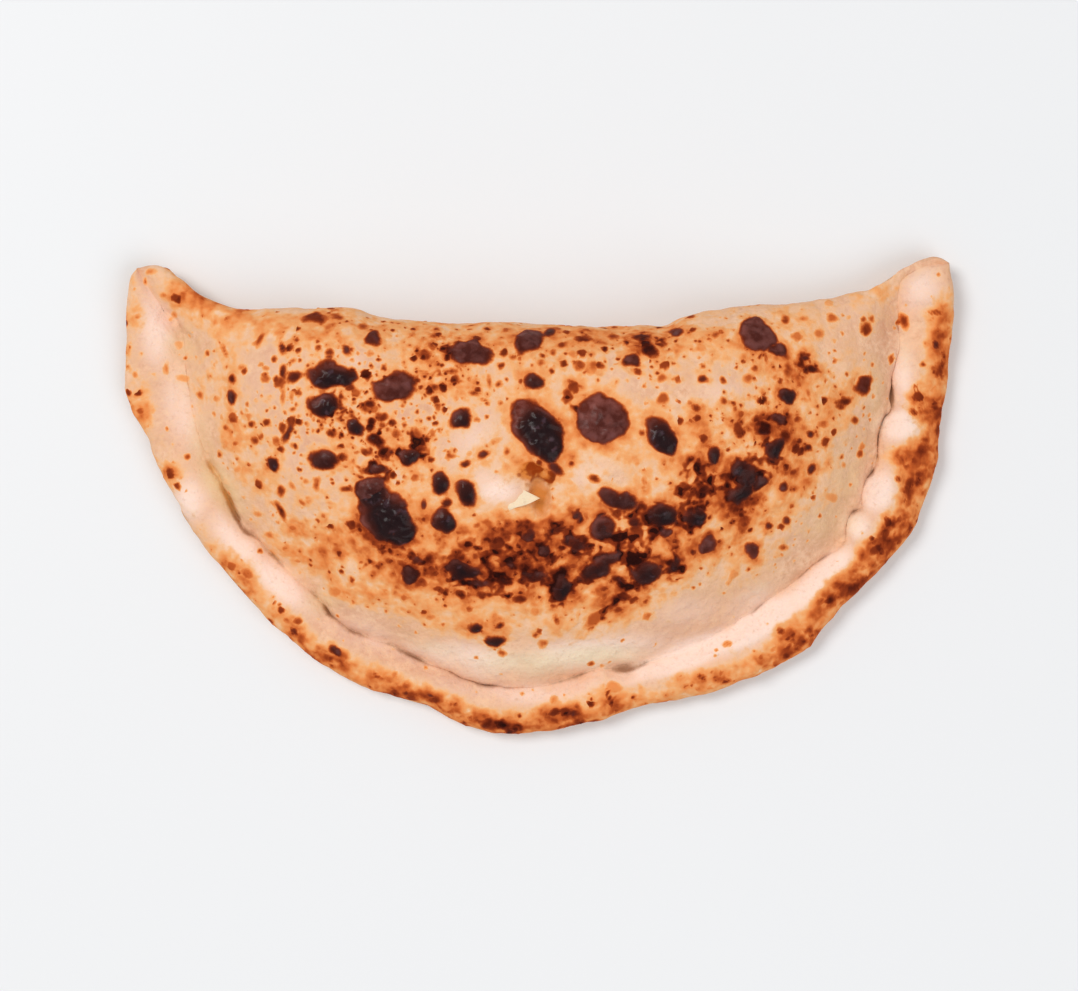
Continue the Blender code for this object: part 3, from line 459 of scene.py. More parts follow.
gap = np.zeros(len(share))
for x, y, reach, depth in CREASE_GAPS:
    away = np.hypot(crease_at[:, 0, 0] - x, crease_at[:, 0, 1] - y)
    gap = np.maximum(gap, depth * np.exp(-((away / reach) ** 2)))
gap = np.maximum(gap, 1.5 * smooth((seam - 0.3) / 0.35) * (0.7 + waves_along(share, 55, 8.5)))
gap *= 0.8 + 0.5 * waves_along(share, 90, 6.5)
foot = body[:, RIM_ROWS] - gap
crest = RIM_HEIGHT / MM + RIM_WAVE / MM * (waves_along(share, RIM_WAVES, 3.5) + 0.6 * waves_along(share, 38, 7.5))
crest = foot + (crest - foot) * (STAND + (1 - STAND) * seam)
bulge = RIM_BULGE / MM
outer = bulge + (crest[:, None] - bulge) * round_over(roll / RIM_CREST)
inner_part = np.clip((roll - RIM_CREST) / (1 - RIM_CREST), 0, 1)
drop = seam[:, None] * np.sqrt(1 - inner_part**2.6) + (1 - seam[:, None]) * (1 - smooth(inner_part))
rolled = np.where(roll < RIM_CREST, outer, foot[:, None] + (crest - foot)[:, None] * drop)
from_gap = np.linalg.norm(top - crease_at, axis=2)
height = body - gap[:, None] * np.exp(-((from_gap / 1.3) ** 1.5))
height[:, :RIM_ROWS] = rolled
height = bulge + (height - bulge) * tip_round[:, None]


def horn_lift(places):
    """How far each horn's end is off the table."""
    outer_end = smooth((np.abs(places[..., 0]) / high[0] - 0.86) / 0.14)
    return HORN_LIFT / MM * outer_end * smooth((places[..., 1] / (2 * high[1]) - 0.2) / 0.2)


height += horn_lift(top)

# The underside: flat, and curving up to the outline.
chord = np.linalg.norm(fold_at - rim_at, axis=2)
rim_cut = np.minimum(RIM_UNDERCUT / MM, 0.45 * chord) / np.maximum(chord, 1e-3)
fold_cut = np.minimum(FOLD_UNDERCUT / MM, 0.45 * chord) / np.maximum(chord, 1e-3)
rim_turn = np.linspace(0, np.pi / 2, BASE_RIM_ROWS)
fold_turn = np.linspace(np.pi / 2, 0, BASE_FOLD_ROWS)
rim_part = (1 - np.cos(rim_turn)) * rim_cut
fold_part = 1 - (1 - np.cos(fold_turn)) * fold_cut
flat_part = rim_part[:, -1:] + (fold_part[:, :1] - rim_part[:, -1:]) * np.linspace(0, 1, BASE_FLAT_ROWS + 2)[1:-1]
base = rim_at + (fold_at - rim_at) * np.hstack([rim_part, flat_part, fold_part])[..., None]
base_height = np.hstack([
    height[:, :1] * (1 - np.sin(rim_turn) * tip_round[:, None]),
    height[:, :1] * (1 - tip_round[:, None]) * np.ones(BASE_FLAT_ROWS),
    height[:, -1:] * (1 - np.sin(fold_turn) * tip_round[:, None]),
])
base_height = np.maximum(base_height, horn_lift(base))


def sheet_normals(places):
    """Unit normals of a grid of 3-D places, upwards."""
    normals = np.cross(np.gradient(places, axis=0), np.gradient(places, axis=1))
    normals /= np.maximum(np.linalg.norm(normals, axis=2, keepdims=True), 1e-9)
    return np.where(normals[..., 2:] < 0, -normals, normals)


skin = np.dstack([top, height])
normals = sheet_normals(skin)

# Relief, raised along the skin's own normals: lumps, pinches, wrinkles and blisters.
relief = 0.8 * waves(skin, 13.0, 11.5) + 0.45 * waves(skin, 5.5, 17.5) + 0.18 * waves(skin, 2.6, 23.5)
for x, y, reach, rise in LUMPS:
    relief += rise * np.exp(-(in_turned(top, x, y, reach, reach, 0) ** 2))
bent = top + 1.6 * np.dstack([waves(top, 7.0, 31.5), waves(top, 7.0, 37.5)])
for (x0, y0), (x1, y1), half_width, depth in WRINKLES:
    half_length, turn = np.hypot(x1 - x0, y1 - y0) / 2, np.degrees(np.arctan2(y1 - y0, x1 - x0))
    x, y = (x0 + x1) / 2, (y0 + y1) / 2
    relief -= depth * np.exp(-(in_turned(bent, x, y, half_length, 1.4 * half_width, turn) ** 2))
    fold_over = in_turned(bent, x, y + 2 * half_width, half_length, 1.5 * half_width, turn)
    relief += 0.6 * depth * np.exp(-(fold_over**2))

# How far each place is inside the nearest charred mark, in mm, how far that mark is burnt, and how far the place
# is inside the mark's blackest part, set towards the camera's lower right: real char, with painted shade there.
ragged = 0.5 * np.dstack([waves(top, 2.8, 41.5), waves(top, 2.8, 47.5)])
ragged += 1.6 * np.dstack([waves(top, 6.0, 53.5), waves(top, 6.0, 59.5)])
crinkle = np.abs(waves(top, 1.9, 61.5)) + 0.6 * np.abs(waves(top, 3.8, 67.5))
scorch, char_and_shade_core, burn = np.full(height.shape, -6.0), np.full(height.shape, -6.0), np.zeros(height.shape)
surface = kdtree.KDTree(height.size)
for i, (x, y) in enumerate(top.reshape(-1, 2)):
    surface.insert((x, y, 0), i)
surface.balance()
flat_scorches = [(*mark, 0.12) for mark in SCORCHES]
for x, y, half_length, half_width, turn, burnt, rise in (*BLISTERS, *flat_scorches):
    level = height.reshape(-1)[surface.find((x, y, 0))[1]]
    sunk = np.maximum(np.abs(height - level) - 5.0, 0) / 4.0
    warped = top + ragged * min(1.0, half_width / 2.5)
    away = np.hypot(in_turned(warped, x, y, half_length, half_width, turn), sunk)
    inwards = (1 - away) * min(half_width, half_length)
    burn = np.where(inwards > scorch, burnt, burn)
    scorch = np.maximum(scorch, inwards)
    # The blackest part sits towards the lower right, away from the light: painted shade over real char.
    shaded_side_centre = (x + 0.26 * half_width, y - 0.3 * half_width)
    shifted = in_turned(warped, *shaded_side_centre, 0.86 * half_length, 0.84 * half_width, turn)
    char_and_shade_core = np.maximum(char_and_shade_core, (1 - shifted) * 0.85 * half_width)
    dome = np.clip(1 - away**2, 0, 1)
    relief += rise * (1.15 * dome**0.6 * (0.62 + 0.38 * dome) - 0.6 * crinkle * dome**0.5 * (burnt > 0.82))

vent = (1 - in_turned(top + 0.3 * ragged, *VENT)) * min(VENT[2:4])
vent_lip = np.exp(-(in_turned(top + 0.5 * ragged, *VENT_LIP) ** 2))
relief += VENT_LIP_RISE * vent_lip - VENT_DEPTH * smooth((vent + 0.7) / 1.8)

skin += normals * (relief * tip_round[:, None])[..., None]
skin[..., 2] = np.maximum(skin[..., 2], 0.3)

# Tones over the upper skin. The rolled rim browns on its outer side, where the brown also stands for painted shade.
on_rim = np.append(roll, np.full(rows - RIM_ROWS, 1.5))
outer_side = smooth((0.84 - on_rim) / 0.7) * np.ones(height.shape)
rim_brown_and_shade = outer_side * (along_seam(RIM_BROWNING_AND_SHADE, share) + 0.25 * waves_along(share, 30, 71.5))[:, None]
rim_floury = np.exp(-(((on_rim - 0.8) / 0.25) ** 2)) * (0.15 + 0.25 * waves_along(share, 20, 73.5))[:, None]
fold_edge = np.exp(-((from_fold / 8.0) ** 2)) * tips[:, None]
upper_tones = {
    "scorch": scorch,
    "char_and_shade_core": char_and_shade_core,
    "burn": burn,
    "golden": np.clip(patches(top, GOLDEN) + 1.0 * rim_brown_and_shade + 0.15 * fold_edge, 0, 1.05),
    "scorched": np.clip(patches(top, SCORCHED) + 0.05 * rim_brown_and_shade, 0, 1.2),
    "floury": np.clip(patches(top, FLOURY) + rim_floury, 0, 1.2),
    "olive": patches(top, OLIVE_OIL_AND_SHADE),
    "gap": gap[:, None] * np.exp(-((from_gap / 1.2) ** 1.5)),
    "vent": vent,
    "vent_lip": vent_lip,
    "under": np.zeros(height.shape),
}
speckled = 0.05 + patches(top, FRECKLED) + 0.25 * upper_tones["scorched"] + 0.15 * outer_side
upper_tones["speckled"] = np.clip(speckled - 0.15 * upper_tones["floury"], 0.02, 1)

# One closed mesh: the two sheets share the outline, and each horn's end is a single place.
columns = len(share)
base_skin = np.dstack([base, base_height])
base_rows = base.shape[1]
top_index = np.arange(columns * rows).reshape(columns, rows)
base_index = columns * rows + np.arange(columns * base_rows).reshape(columns, base_rows)


def grid_faces(index):
    """Quads between neighbouring places, and triangles where a column ends in one place."""
    quads = np.stack([index[:-1, :-1], index[1:, :-1], index[1:, 1:], index[:-1, 1:]], -1)
    first, last = quads[0][:, [0, 1, 2]], quads[-1][:, [0, 1, 3]]
    return [*first.tolist(), *quads[1:-1].reshape(-1, 4).tolist(), *last.tolist()]


def across_share(places):
    """How far each place is from the rim to the fold, measured over the skin."""
    steps = np.linalg.norm(np.diff(places, axis=1), axis=2)
    over = np.hstack([np.zeros((len(places), 1)), np.cumsum(steps, axis=1)])
    return over / np.maximum(over[:, -1:], 1e-6)


# The upper skin fills the top half of the map and the underside the bottom half.
upper_map = np.dstack([0.01 + 0.98 * np.repeat(share[:, None], rows, 1), 0.505 + 0.485 * across_share(skin)])
lower_map = np.dstack([0.01 + 0.98 * np.repeat(share[:, None], base_rows, 1), 0.01 + 0.485 * across_share(base_skin)])
mapped = np.concatenate([upper_map.reshape(-1, 2), lower_map.reshape(-1, 2)])
map_corners = grid_faces(top_index) + [face[::-1] for face in grid_faces(base_index)]
map_places = mapped[np.concatenate(map_corners)]

base_index[:, 0], base_index[:, -1] = top_index[:, 0], top_index[:, -1]
for index in (top_index, base_index):
    index[0], index[-1] = top_index[0, 0], top_index[-1, 0]
faces = grid_faces(top_index) + [face[::-1] for face in grid_faces(base_index)]
used = np.unique(np.concatenate(faces))
renamed = np.zeros(used.max() + 1, int)
renamed[used] = np.arange(len(used))
faces = [renamed[face].tolist() for face in faces]
places = np.concatenate([skin.reshape(-1, 3), base_skin.reshape(-1, 3)])[used]

# The outermost places keep to the solid's box.
size = places.max(0) - places.min(0)
places = (places - places.min(0)) / size * (high - low) + low
crust_mesh = bpy.data.meshes.new("crust")
crust_mesh.from_pydata((places * MM).tolist(), [], faces)
crust_mesh.shade_smooth()
bake_map = crust_mesh.uv_layers.new(name="OFBake")
bake_map.data.foreach_set("uv", map_places.astype(np.float32).ravel())

SOLE_TONES = {"scorch": -6.0, "char_and_shade_core": -6.0, "vent": -6.0, "golden": 0.35, "speckled": 0.1}
turned_under = np.concatenate([rim_turn, np.full(BASE_FLAT_ROWS, np.pi / 2), fold_turn]) / (np.pi / 2)
turned_under = np.tile(smooth((turned_under - 0.15) / 0.7), columns)
for name, values in upper_tones.items():
    sole_values = turned_under if name == "under" else np.full(base_height.size, SOLE_TONES.get(name, 0.0))
    tone = crust_mesh.attributes.new(name, "FLOAT", "POINT")
    tone.data.foreach_set("value", np.concatenate([values.ravel(), sole_values])[used].astype(np.float32))
crust = bpy.data.objects.new("crust", crust_mesh)
bpy.context.scene.collection.objects.link(crust)


class Wire:
    """A node's output. A sum on it adds a Math node, or a Vector Math node where it is a vector or a colour."""

    def __init__(self, graph, socket):
        self.graph = graph
        self.socket = socket

    def joined(self, operation, other, flipped=False):
        pair = (other, self) if flipped else (self, other)
        vector = any(isinstance(side, Wire) and side.socket.type in ("VECTOR", "RGBA") for side in pair)
        kind = "ShaderNodeVectorMath" if vector else "ShaderNodeMath"
        return self.graph.node(kind, {"operation": operation}, dict(enumerate(pair)))

    def __add__(self, other):
        return self.joined("ADD", other)

    def __radd__(self, other):
        return self.joined("ADD", other, True)

    def __sub__(self, other):
        return self.joined("SUBTRACT", other)

    def __rsub__(self, other):
        return self.joined("SUBTRACT", other, True)

    def __mul__(self, other):
        return self.joined("MULTIPLY", other)

    def __rmul__(self, other):
        return self.joined("MULTIPLY", other, True)

    def __truediv__(self, other):
        return self.joined("DIVIDE", other)

    def __pow__(self, other):
        return self.joined("POWER", other)

    def beside(self, output):
        """Another output of the same node."""
        return Wire(self.graph, self.socket.node.outputs[output])

    def at_least(self, other):
        return self.joined("MAXIMUM", other)

    def at_most(self, other):
        return self.joined("MINIMUM", other)

    def rising(self, start, end):
        """0 up to start, 1 from end, smooth between them."""
        settings = {"interpolation_type": "SMOOTHSTEP"}
        return self.graph.node("ShaderNodeMapRange", settings, {0: self, 1: start, 2: end})

    def blend(self, without, fully):
        """One colour where this is 0, the other where it is 1."""
        return self.graph.node("ShaderNodeMix", {"data_type": "RGBA"}, {0: self, 6: without, 7: fully}, 2)

    def through(self, stops):
        """The colour at this value in a run of stops, each a value and a colour."""
        run = self.graph.node("ShaderNodeValToRGB", None, {"Fac": self})
        elements = run.socket.node.color_ramp.elements
        for value, colour in stops[1:-1]:
            elements.new(value).color = colour
        for end, (value, colour) in ((0, stops[0]), (-1, stops[-1])):
            elements[end].position, elements[end].color = value, colour
        return run


class Graph:
    """A node tree that is written as expressions on its wires."""

    def __init__(self, tree):
        self.tree = tree

    def node(self, kind, settings=None, inputs=None, output=0):
        """Adds a node: its settings first, then the values or links of its sockets."""
        made = self.tree.nodes.new(kind)
        for name, value in (settings or {}).items():
            setattr(made, name, value)
        for name, value in (inputs or {}).items():
            socket = made.inputs[name]
            if isinstance(value, Wire):
                self.tree.links.new(value.socket, socket)
            elif socket.type == "VECTOR" and isinstance(value, (int, float)):
                socket.default_value = (value, value, value)
            else:
                socket.default_value = value
        return Wire(self, made.outputs[output])

    def tone(self, name):
        """A value that the mesh carries."""
        return self.node("ShaderNodeAttribute", {"attribute_name": name}, output="Fac")

    def noise(self, place, size, detail=2.0, roughness=0.5, distortion=0.0, output=0):
        """Noise from about 0.25 to 0.75, with features of this size."""
        values = {"Vector": place, "Scale": 1 / size, "Detail": detail, "Roughness": roughness}
        return self.node("ShaderNodeTexNoise", None, {**values, "Distortion": distortion}, output)

    def swing(self, place, size, detail=2.0, roughness=0.5, distortion=0.0):
        """Noise from about -1 to 1."""
        return (self.noise(place, size, detail, roughness, distortion) - 0.5) * 4


def paint(red, green, blue):
    """A colour, from screen values of 0 to 255 to what the shader takes."""
    screen = np.array([red, green, blue]) / 255
    return (*np.where(screen <= 0.04045, screen / 12.92, ((screen + 0.055) / 1.055) ** 2.4).tolist(), 1.0)


def new_material(name, **constants):
    """A Principled material with its constants set, and the graph to write on."""
    material = bpy.data.materials.new(name)
    material.use_nodes = True
    shader = material.node_tree.nodes["Principled BSDF"]
    for key, value in constants.items():
        shader.inputs[key.replace("_", " ")].default_value = value
    return material, Graph(material.node_tree), shader


def wired(graph, shader, **wires):
    for key, wire in wires.items():
        graph.tree.links.new(wire.socket, shader.inputs[key.replace("_", " ")])


baked_dough, graph, shader = new_material(
    "baked_dough", Specular_IOR_Level=0.05, Subsurface_Weight=0.05, Subsurface_Scale=0.002,
    Coat_Roughness=0.22, Coat_IOR=1.45,
)
shader.inputs["Subsurface Radius"].default_value = (1.0, 0.55, 0.3)
place = graph.node("ShaderNodeTexCoord", output="Object") * (1 / MM)
coarse = graph.swing(place, 24.0, 3.0)
patchy = graph.swing(place, 9.5, 3.0)
netting = graph.swing(place, 3.6, 1.0, 0.5, 0.3)
fine = graph.swing(place, 2.0, 3.0, 0.6)
grain = graph.swing(place, 0.9, 2.0, 0.6)
golden, floury, olive = graph.tone("golden"), graph.tone("floury"), graph.tone("olive")
scorched, speckled = graph.tone("scorched"), graph.tone("speckled")
under, gap_open = graph.tone("under"), graph.tone("gap")

# Bare dough: cream to peach, olive where it is oily and as painted shade in hollows by the rim, and whiter where it
# kept its flour.
mottled = patchy * 0.5 + netting * 0.25 + fine * 0.5
bare = mottled.rising(-0.9, 0.9).blend(paint(241, 197, 162), paint(210, 150, 117))
bare = (coarse.rising(-0.4, 0.6) * 0.4).blend(bare, paint(238, 180, 138))
bare = (speckled * 0.6 + mottled * 0.1).at_most(0.6).blend(bare, paint(216, 152, 118))
# Olive tints: oil, and painted shade in the hollows next to the rim.
bare = ((olive + mottled * 0.3).rising(0.05, 0.9) * 0.75).blend(bare, paint(230, 198, 150))
bare = ((olive + mottled * 0.1).rising(0.7, 1.1) * 0.7).blend(bare, paint(208, 164, 92))
flour = olive.rising(0.1, 0.6).blend(paint(252, 223, 207), paint(245, 224, 192))
bare = ((floury + mottled * 0.25).rising(0.1, 0.95) * 0.9).blend(bare, flour)
bare = ((fine + grain * 0.5).rising(0.1, 1.2) * 0.3).blend(bare, paint(206, 150, 108))

# How far each place is browned, from 0 to 1: first the oven's heat over the region, and the embers where it has
# scorched the skin in spots.
heat = golden * 0.25 + coarse * 0.05 - floury * 0.12 + 0.07
heat = heat + patchy * (golden * 0.08 + 0.04) + netting * (golden * 0.07 + 0.04) + fine * 0.03
ember = scorched * 1.75 + netting * 1.0 + patchy * 0.3 + fine * 0.1
glow = scorched.rising(0.06, 0.36)
heat = heat.at_least(ember.rising(0.2, 1.3) * glow * 0.52)
heat = heat.at_least(ember.rising(0.9, 1.8) * glow * 0.84)

# Then the charred marks, each in a halo of colour.
scorch, burn, char_and_shade_core = graph.tone("scorch"), graph.tone("burn"), graph.tone("char_and_shade_core")
edge = scorch + netting * 0.3 + fine * 0.25
heat = heat + edge.rising(-3.6, 0.0) * burn * (golden * 0.14 + 0.07)
browning = heat.at_least(edge.rising(-1.2, 1.2) * burn.at_most(0.72))

# Then the small blisters, and freckles between them.
fleck, fleck_burn = graph.tone("fleck"), graph.tone("fleck_burn")
fleck_edge = fleck + netting * 0.35 + fine * 0.2
fleck_burn = (fleck_burn * 0.5 + 0.35) * (golden * 0.2 + speckled * 0.5 + 0.6)
browning = browning + fleck_edge.rising(-2.6, 0.2) * fleck_burn * (golden * 0.18 + 0.08)
browning = browning.at_least(fleck_edge.rising(-0.8, 1.2) * fleck_burn)


def freckles(spacing, smallest, largest, share):
    """How far each place is inside the nearest freckle, in mm, of those scattered this far apart."""
    wavering = (graph.noise(place, 1.6, 1.0, output=1) - 0.5) * 1.1
    away = graph.node("ShaderNodeTexVoronoi", None, {"Vector": place + wavering, "Scale": 1 / spacing}, "Distance")
    luck = graph.node("ShaderNodeSeparateColor", None, {"Color": away.beside("Color")})
    reach = luck.beside("Green") ** 2 * (largest - smallest) + smallest
    return reach - away * spacing - (luck - share).rising(0.0, 0.05) * 4


for spacing, smallest, largest in ((3.6, 0.6, 1.7), (2.2, 0.4, 0.9)):
    freckle = freckles(spacing, smallest, largest, speckled * 0.8)
    browning = browning + freckle.rising(-1.4, 0.3) * (golden * 0.06 + speckled * 0.06 + 0.03)
    browning = browning.at_least(freckle.rising(-0.9, 1.0) * (golden * 0.2 + speckled * 0.3 + 0.5))
tone = browning.through((
    (0.10, paint(241, 197, 154)), (0.20, paint(239, 170, 110)), (0.32, paint(231, 138, 74)),
    (0.44, paint(198, 96, 42)), (0.56, paint(150, 60, 24)), (0.70, paint(104, 34, 12)),
    (0.84, paint(66, 16, 4)), (1.0, paint(40, 8, 4)),
))
tone = browning.rising(0.04, 0.2).blend(bare, tone)

# The large blisters are ashen, violet brown where their skin is thin and black where it is burnt through; the black
# also stands for painted shade on their lower right side.
deep = (scorch + netting * 0.4 + fine * 0.25).rising(0.0, 2.0) * burn.rising(0.72, 0.8)
deep = deep * (1 - scorched.rising(0.55, 0.95) * 0.6)
ash = (netting + fine * 0.5).rising(-0.7, 0.8).blend(paint(92, 38, 28), paint(132, 74, 66))
tone = (deep * 0.88).blend(tone, ash)
black = (char_and_shade_core + netting * 0.5 + fine * 0.3).rising(-1.3, 0.9) * edge.rising(-0.2, 1.3)
black = black * (burn.rising(0.84, 0.94) * 0.6 + 0.35) * burn.rising(0.6, 0.76)
# Soot grows darkest towards the lower right of the black part: real char with painted shade.
soot_and_shade = (char_and_shade_core + netting * 0.5).rising(0.3, 2.6).blend(paint(52, 13, 6), paint(22, 8, 12))
# Bluish grey streaks over the black are a painted sheen.
tone = black.blend(tone, (netting - fine * 0.5).rising(0.4, 1.2).blend(soot_and_shade, paint(62, 44, 52)))

# The crease: oily, and painted darker where it gapes, as shade down in the crease.
oil_and_crease_shade = (gap_open * 0.45 + fine * 0.12).rising(0.15, 0.9)
tone = (oil_and_crease_shade * 0.8).blend(tone, olive.rising(0.3, 0.8).blend(paint(140, 88, 54), paint(208, 142, 66)))

# The burst place: raw, oily dough down in the hole, and a rusty ridge over it.
vent, vent_lip = graph.tone("vent"), graph.tone("vent_lip")
rusty = (vent_lip + netting * 0.15 + fine * 0.1).rising(0.1, 0.6) * 0.92
tone = rusty.blend(tone, (netting + vent_lip + fine * 0.5).rising(0.1, 1.0).blend(paint(212, 120, 48), paint(146, 56, 10)))
torn = (vent + netting * 0.3 + fine * 0.2).rising(-0.3, 0.7)
tone = torn.blend(tone, (vent + netting).rising(0.2, 2.4).blend(paint(224, 152, 96), paint(206, 126, 58)))

# The underside: floury, with brown spots where it touched the oven's floor.
sole_coarse = graph.swing(place, 14.0, 4.0, 0.6, 0.3)
sole_fine = graph.swing(place, 5.0, 4.0, 0.65)
sole = (sole_fine + sole_coarse * 0.6).rising(-0.6, 0.5).blend(paint(246, 212, 172), paint(236, 180, 126))
sole = ((sole_coarse + sole_fine * 0.6).rising(0.1, 0.7) * 0.8).blend(sole, paint(202, 122, 64))
sole = ((sole_coarse + sole_fine * 0.9).rising(0.6, 1.1) * 0.9).blend(sole, paint(104, 50, 28))
sole = ((fine * 0.6 + patchy).rising(0.2, 0.9) * 0.55).blend(sole, paint(248, 232, 214))
tone = (under + fine * 0.08).rising(0.5, 0.75).blend(tone, sole)

crusty = browning.rising(0.5, 0.9) * (1 - under)
shiny = deep * 0.08 + black * 0.16 + oil_and_crease_shade * 0.1 + torn * 0.1
roughness = 0.76 + floury * 0.12 + fine * 0.06 - crusty * 0.2 - oil_and_crease_shade * 0.25
wrinkled = graph.swing(place, 1.6, 3.0, 0.6, 0.6)
bumps = fine * 0.1 + grain * 0.04 + patchy * 0.16 + netting * 0.12 + wrinkled * crusty * 0.14
bump = graph.node("ShaderNodeBump", None, {"Strength": 0.9, "Distance": MM, "Height": bumps})
wired(graph, shader, Base_Color=tone, Roughness=roughness.at_least(0.35).at_most(0.95), Normal=bump, Coat_Weight=shiny)


# Small blisters all over, raised by a node group that follows the skin.
def geometry_tree(name, inputs):
    """An empty Geometry Nodes tree with a mesh in, a mesh out and these named inputs."""
    tree = bpy.data.node_groups.new(name, "GeometryNodeTree")
    tree.interface.new_socket("Geometry", in_out="INPUT", socket_type="NodeSocketGeometry")
    tree.interface.new_socket("Geometry", in_out="OUTPUT", socket_type="NodeSocketGeometry")
    for label, value in inputs.items():
        kind = "NodeSocketInt" if isinstance(value, int) else "NodeSocketFloat"
        tree.interface.new_socket(label, in_out="INPUT", socket_type=kind)
    graph = Graph(tree)
    start = tree.nodes.new("NodeGroupInput")
    return tree, graph, {label: Wire(graph, start.outputs[label]) for label in ("Geometry", *inputs)}


def run_tree(piece, tree, inputs):
    """Runs the tree on a piece and gives the result as a plain mesh."""
    modifier = piece.modifiers.new(tree.name, "NODES")
    modifier.node_group = tree
    for item in tree.interface.items_tree:
        if item.in_out == "INPUT" and item.name in inputs:
            modifier[item.identifier] = inputs[item.name]
    graph = bpy.context.evaluated_depsgraph_get()
    evaluated = piece.evaluated_get(graph)
    made = bpy.data.meshes.new_from_object(evaluated, preserve_all_data_layers=True, depsgraph=graph)
    piece.modifiers.remove(modifier)
    return made


def finished(graph, geometry, material):
    """Ends a tree: real geometry with its material on."""
    real = graph.node("GeometryNodeRealizeInstances", None, {"Geometry": geometry})
    dressed = graph.node("GeometryNodeSetMaterial", None, {"Geometry": real, "Material": material})
    end = graph.tree.nodes.new("NodeGroupOutput")
    graph.tree.links.new(dressed.socket, end.inputs["Geometry"])


SMALL_BLISTERS = {
    "Spacing": 2.4 * MM, "Most per m2": 110000.0, "Smallest": 0.8 * MM, "Largest": 2.4 * MM, "Rise": 0.35 * MM,
    "Warp": 2.6 * MM, "Warp size": 2.4 * MM, "Seed": 11,
}
tree, graph, given = geometry_tree("raise_small_blisters", SMALL_BLISTERS)
FLOAT = {"data_type": "FLOAT"}
VECTOR = {"data_type": "FLOAT_VECTOR"}


def named(graph, name):
    return graph.node("GeometryNodeInputNamedAttribute", FLOAT, {"Name": name})


def stored(graph, geometry, name, value):
    inputs = {"Geometry": geometry, "Name": name, "Value": value}
    return graph.node("GeometryNodeStoreNamedAttribute", FLOAT, inputs)


spots = graph.node("GeometryNodeDistributePointsOnFaces", {"distribute_method": "POISSON"}, {
    "Mesh": given["Geometry"], "Distance Min": given["Spacing"], "Density Max": given["Most per m2"],
    "Density Factor": named(graph, "speckled"), "Seed": given["Seed"],
})
luck = graph.node("FunctionNodeRandomValue", FLOAT, {"Seed": given["Seed"]}, 1)
reach = given["Smallest"] + (given["Largest"] - given["Smallest"]) * luck**2.4
spots = stored(graph, spots, "reach", reach)
spots = stored(graph, spots, "heat", graph.node("FunctionNodeRandomValue", FLOAT, {"Seed": given["Seed"] + 5}, 1))
here = graph.node("GeometryNodeInputPosition")
nearest = graph.node("GeometryNodeSampleNearest", None, {"Geometry": spots})


def from_spot(settings, value):
    return graph.node("GeometryNodeSampleIndex", settings, {"Geometry": spots, "Value": value, "Index": nearest})


centre = from_spot(VECTOR, graph.node("GeometryNodeInputPosition"))
reach = from_spot(FLOAT, named(graph, "reach"))
warp = (graph.noise(here / given["Warp size"], 1.0, 1.0, output=1) - 0.5) * given["Warp"]
away = graph.node("ShaderNodeVectorMath", {"operation": "DISTANCE"}, {0: here + warp, 1: centre}, "Value")
inwards = reach - away
upper = 1 - named(graph, "under")
dome = (inwards / reach).rising(0.0, 0.9) * upper
normal = graph.node("GeometryNodeInputNormal")
lifted = graph.node("ShaderNodeVectorMath", {"operation": "SCALE"}, {0: normal, "Scale": dome * given["Rise"]})
geometry = stored(graph, given["Geometry"], "fleck", (inwards / MM - (1 - upper) * 9).at_least(-4.0))
geometry = stored(graph, geometry, "fleck_burn", from_spot(FLOAT, named(graph, "heat")))
geometry = graph.node("GeometryNodeSetPosition", None, {"Geometry": geometry, "Offset": lifted})
finished(graph, geometry, baked_dough)
crust.data = run_tree(crust, tree, SMALL_BLISTERS)
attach(crust, "root")
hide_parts("calzone")


# ---------------------------------------------------------------------------------------------------------------
# The torn skin: a thin tongue of pale dough that steam has burst from the crust. It is still held along its left
# side, and its tip lies curled up over the hole.
# ---------------------------------------------------------------------------------------------------------------

# Its two edges from the root to the tip, in mm.
TONGUE_UPPER = ((-20.5, 1.4), (-17.5, 6.4), (-11.5, 6.6), (-7.6, 3.2), (-4.6, 1.6), (0.4, -0.9))
TONGUE_LOWER = ((-20.5, 1.4), (-18.0, -4.6), (-12.0, -5.6), (-8.0, -4.2), (-3.8, -2.9), (0.4, -0.9))
TONGUE_STEPS = 44
TONGUE_ACROSS = 19
TONGUE_THICKNESS = 0.5
TONGUE_SUNK = 3.0
TONGUE_OVER = 0.6
TONGUE_CURL = 0.9

solid = bvhtree.BVHTree.FromPolygons([vertex.co for vertex in crust.data.vertices], [
    face.vertices for face in crust.data.polygons
])
ends = [solid.ray_cast(Vector((x * MM, y * MM, 1.0)), Vector((0, 0, -1)))[0].z / MM for x, y in ((-17, 0), (7, -1))]
upper_edge, lower_edge = (spline(points, TONGUE_STEPS) for points in (TONGUE_UPPER, TONGUE_LOWER))
lengthways = np.linspace(0, 1, TONGUE_STEPS)[:, None]
aside = np.sin(np.linspace(-np.pi / 2, np.pi / 2, TONGUE_ACROSS))
tongue = lower_edge[:, None] + (upper_edge - lower_edge)[:, None] * ((aside + 1) / 2)[:, None]
level = ends[0] + (ends[1] - ends[0]) * (tongue[..., 0] + 17) / 24
level += (TONGUE_OVER + TONGUE_SUNK) * smooth((lengthways - 0.12) / 0.7) - TONGUE_SUNK - 0.5 * aside**4 * (1 - lengthways)
level += TONGUE_CURL * smooth((lengthways - 0.6) / 0.4) * aside**2 + 0.2 * waves(tongue, 2.4, 81.5)
half_thick = TONGUE_THICKNESS * np.sqrt(np.clip(1 - aside**2, 0, 1)) * (1 - lengthways) ** 0.3 * (lengthways > 0)
sheets = [np.dstack([tongue, level + side * half_thick]).reshape(-1, 3) for side in (1, -1)]
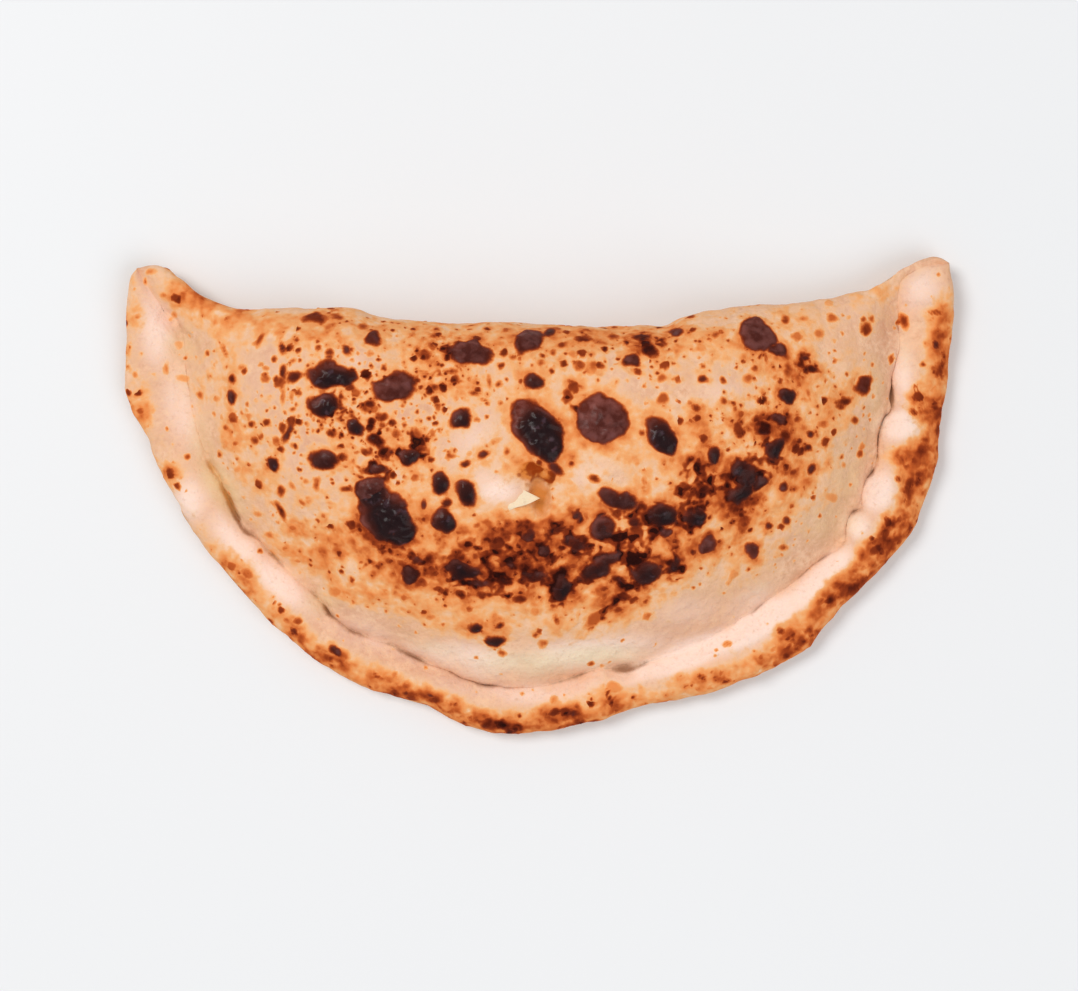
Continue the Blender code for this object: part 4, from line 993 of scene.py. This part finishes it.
over = np.arange(tongue[..., 0].size).reshape(tongue.shape[:2])
below = over + over.size
below[:, 0], below[:, -1] = over[:, 0], over[:, -1]
for index in (over, below):
    index[0], index[-1] = over[0, 0], over[-1, 0]
faces = [face[::-1] for face in grid_faces(over)] + grid_faces(below)
used = np.unique(np.concatenate(faces))
renamed = np.zeros(used.max() + 1, int)
renamed[used] = np.arange(len(used))
torn_mesh = bpy.data.meshes.new("torn_skin")
torn_mesh.from_pydata((np.concatenate(sheets)[used] * MM).tolist(), [], [renamed[face].tolist() for face in faces])
torn_mesh.shade_smooth()
TORN_TONES = {"scorch": -6.0, "char_and_shade_core": -6.0, "vent": -6.0, "fleck": -4.0, "floury": 0.8, "olive": 0.6}
for name, value in TORN_TONES.items():
    tone = torn_mesh.attributes.new(name, "FLOAT", "POINT")
    tone.data.foreach_set("value", np.full(len(used), value, np.float32))
torn_mesh.materials.append(baked_dough)
torn_skin = bpy.data.objects.new("torn_skin", torn_mesh)
bpy.context.scene.collection.objects.link(torn_skin)
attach(torn_skin, "root")


# ---------------------------------------------------------------------------------------------------------------
# The table, the light and the camera: a pale matte table, a broad window from the upper left and a white room.
# ---------------------------------------------------------------------------------------------------------------
scene = bpy.context.scene
TABLE_SIZE = 6.0
table_mesh = bpy.data.meshes.new("table")
half = TABLE_SIZE / 2
table_mesh.from_pydata([(-half, -half, 0), (half, -half, 0), (half, half, 0), (-half, half, 0)], [], [(0, 1, 2, 3)])
table = bpy.data.objects.new("table", table_mesh)
table_top, graph, shader = new_material("table_top", Roughness=0.6)
place = graph.node("ShaderNodeTexCoord", output="Object")
wired(graph, shader, Base_Color=(graph.noise(place, 0.4, 2.0)).blend(paint(232, 233, 234), paint(235, 236, 237)))
table_mesh.materials.append(table_top)
scene.collection.objects.link(table)


def area_light(name, place, size, power, colour):
    data = bpy.data.lights.new(name, "AREA")
    data.shape, data.size, data.energy, data.color = "DISK", size, power, colour
    light = bpy.data.objects.new(name, data)
    light.location = place
    light.rotation_euler = (-Vector(place)).to_track_quat("-Z", "Y").to_euler()
    scene.collection.objects.link(light)


area_light("window", (-1.8, 1.1, 3.1), 1.7, 69.0, (1.0, 0.985, 0.965))
area_light("far_wall", (2.1, -1.6, 3.0), 3.3, 49.0, (0.98, 0.985, 1.0))
world = bpy.data.worlds.new("room")
world.use_nodes = True
world.node_tree.nodes["Background"].inputs["Color"].default_value = (0.97, 0.98, 1.0, 1.0)
world.node_tree.nodes["Background"].inputs["Strength"].default_value = 0.5
scene.world = world
scene.view_settings.view_transform = "Standard"

VIEW_WIDTH = 0.3713
camera_data = bpy.data.cameras.new("camera")
camera_data.lens = 85.0
camera_data.sensor_width = 36.0
camera = bpy.data.objects.new("camera", camera_data)
camera.location = (0.0, 0.0, 0.02 + VIEW_WIDTH * camera_data.lens / camera_data.sensor_width)
scene.collection.objects.link(camera)
scene.camera = camera
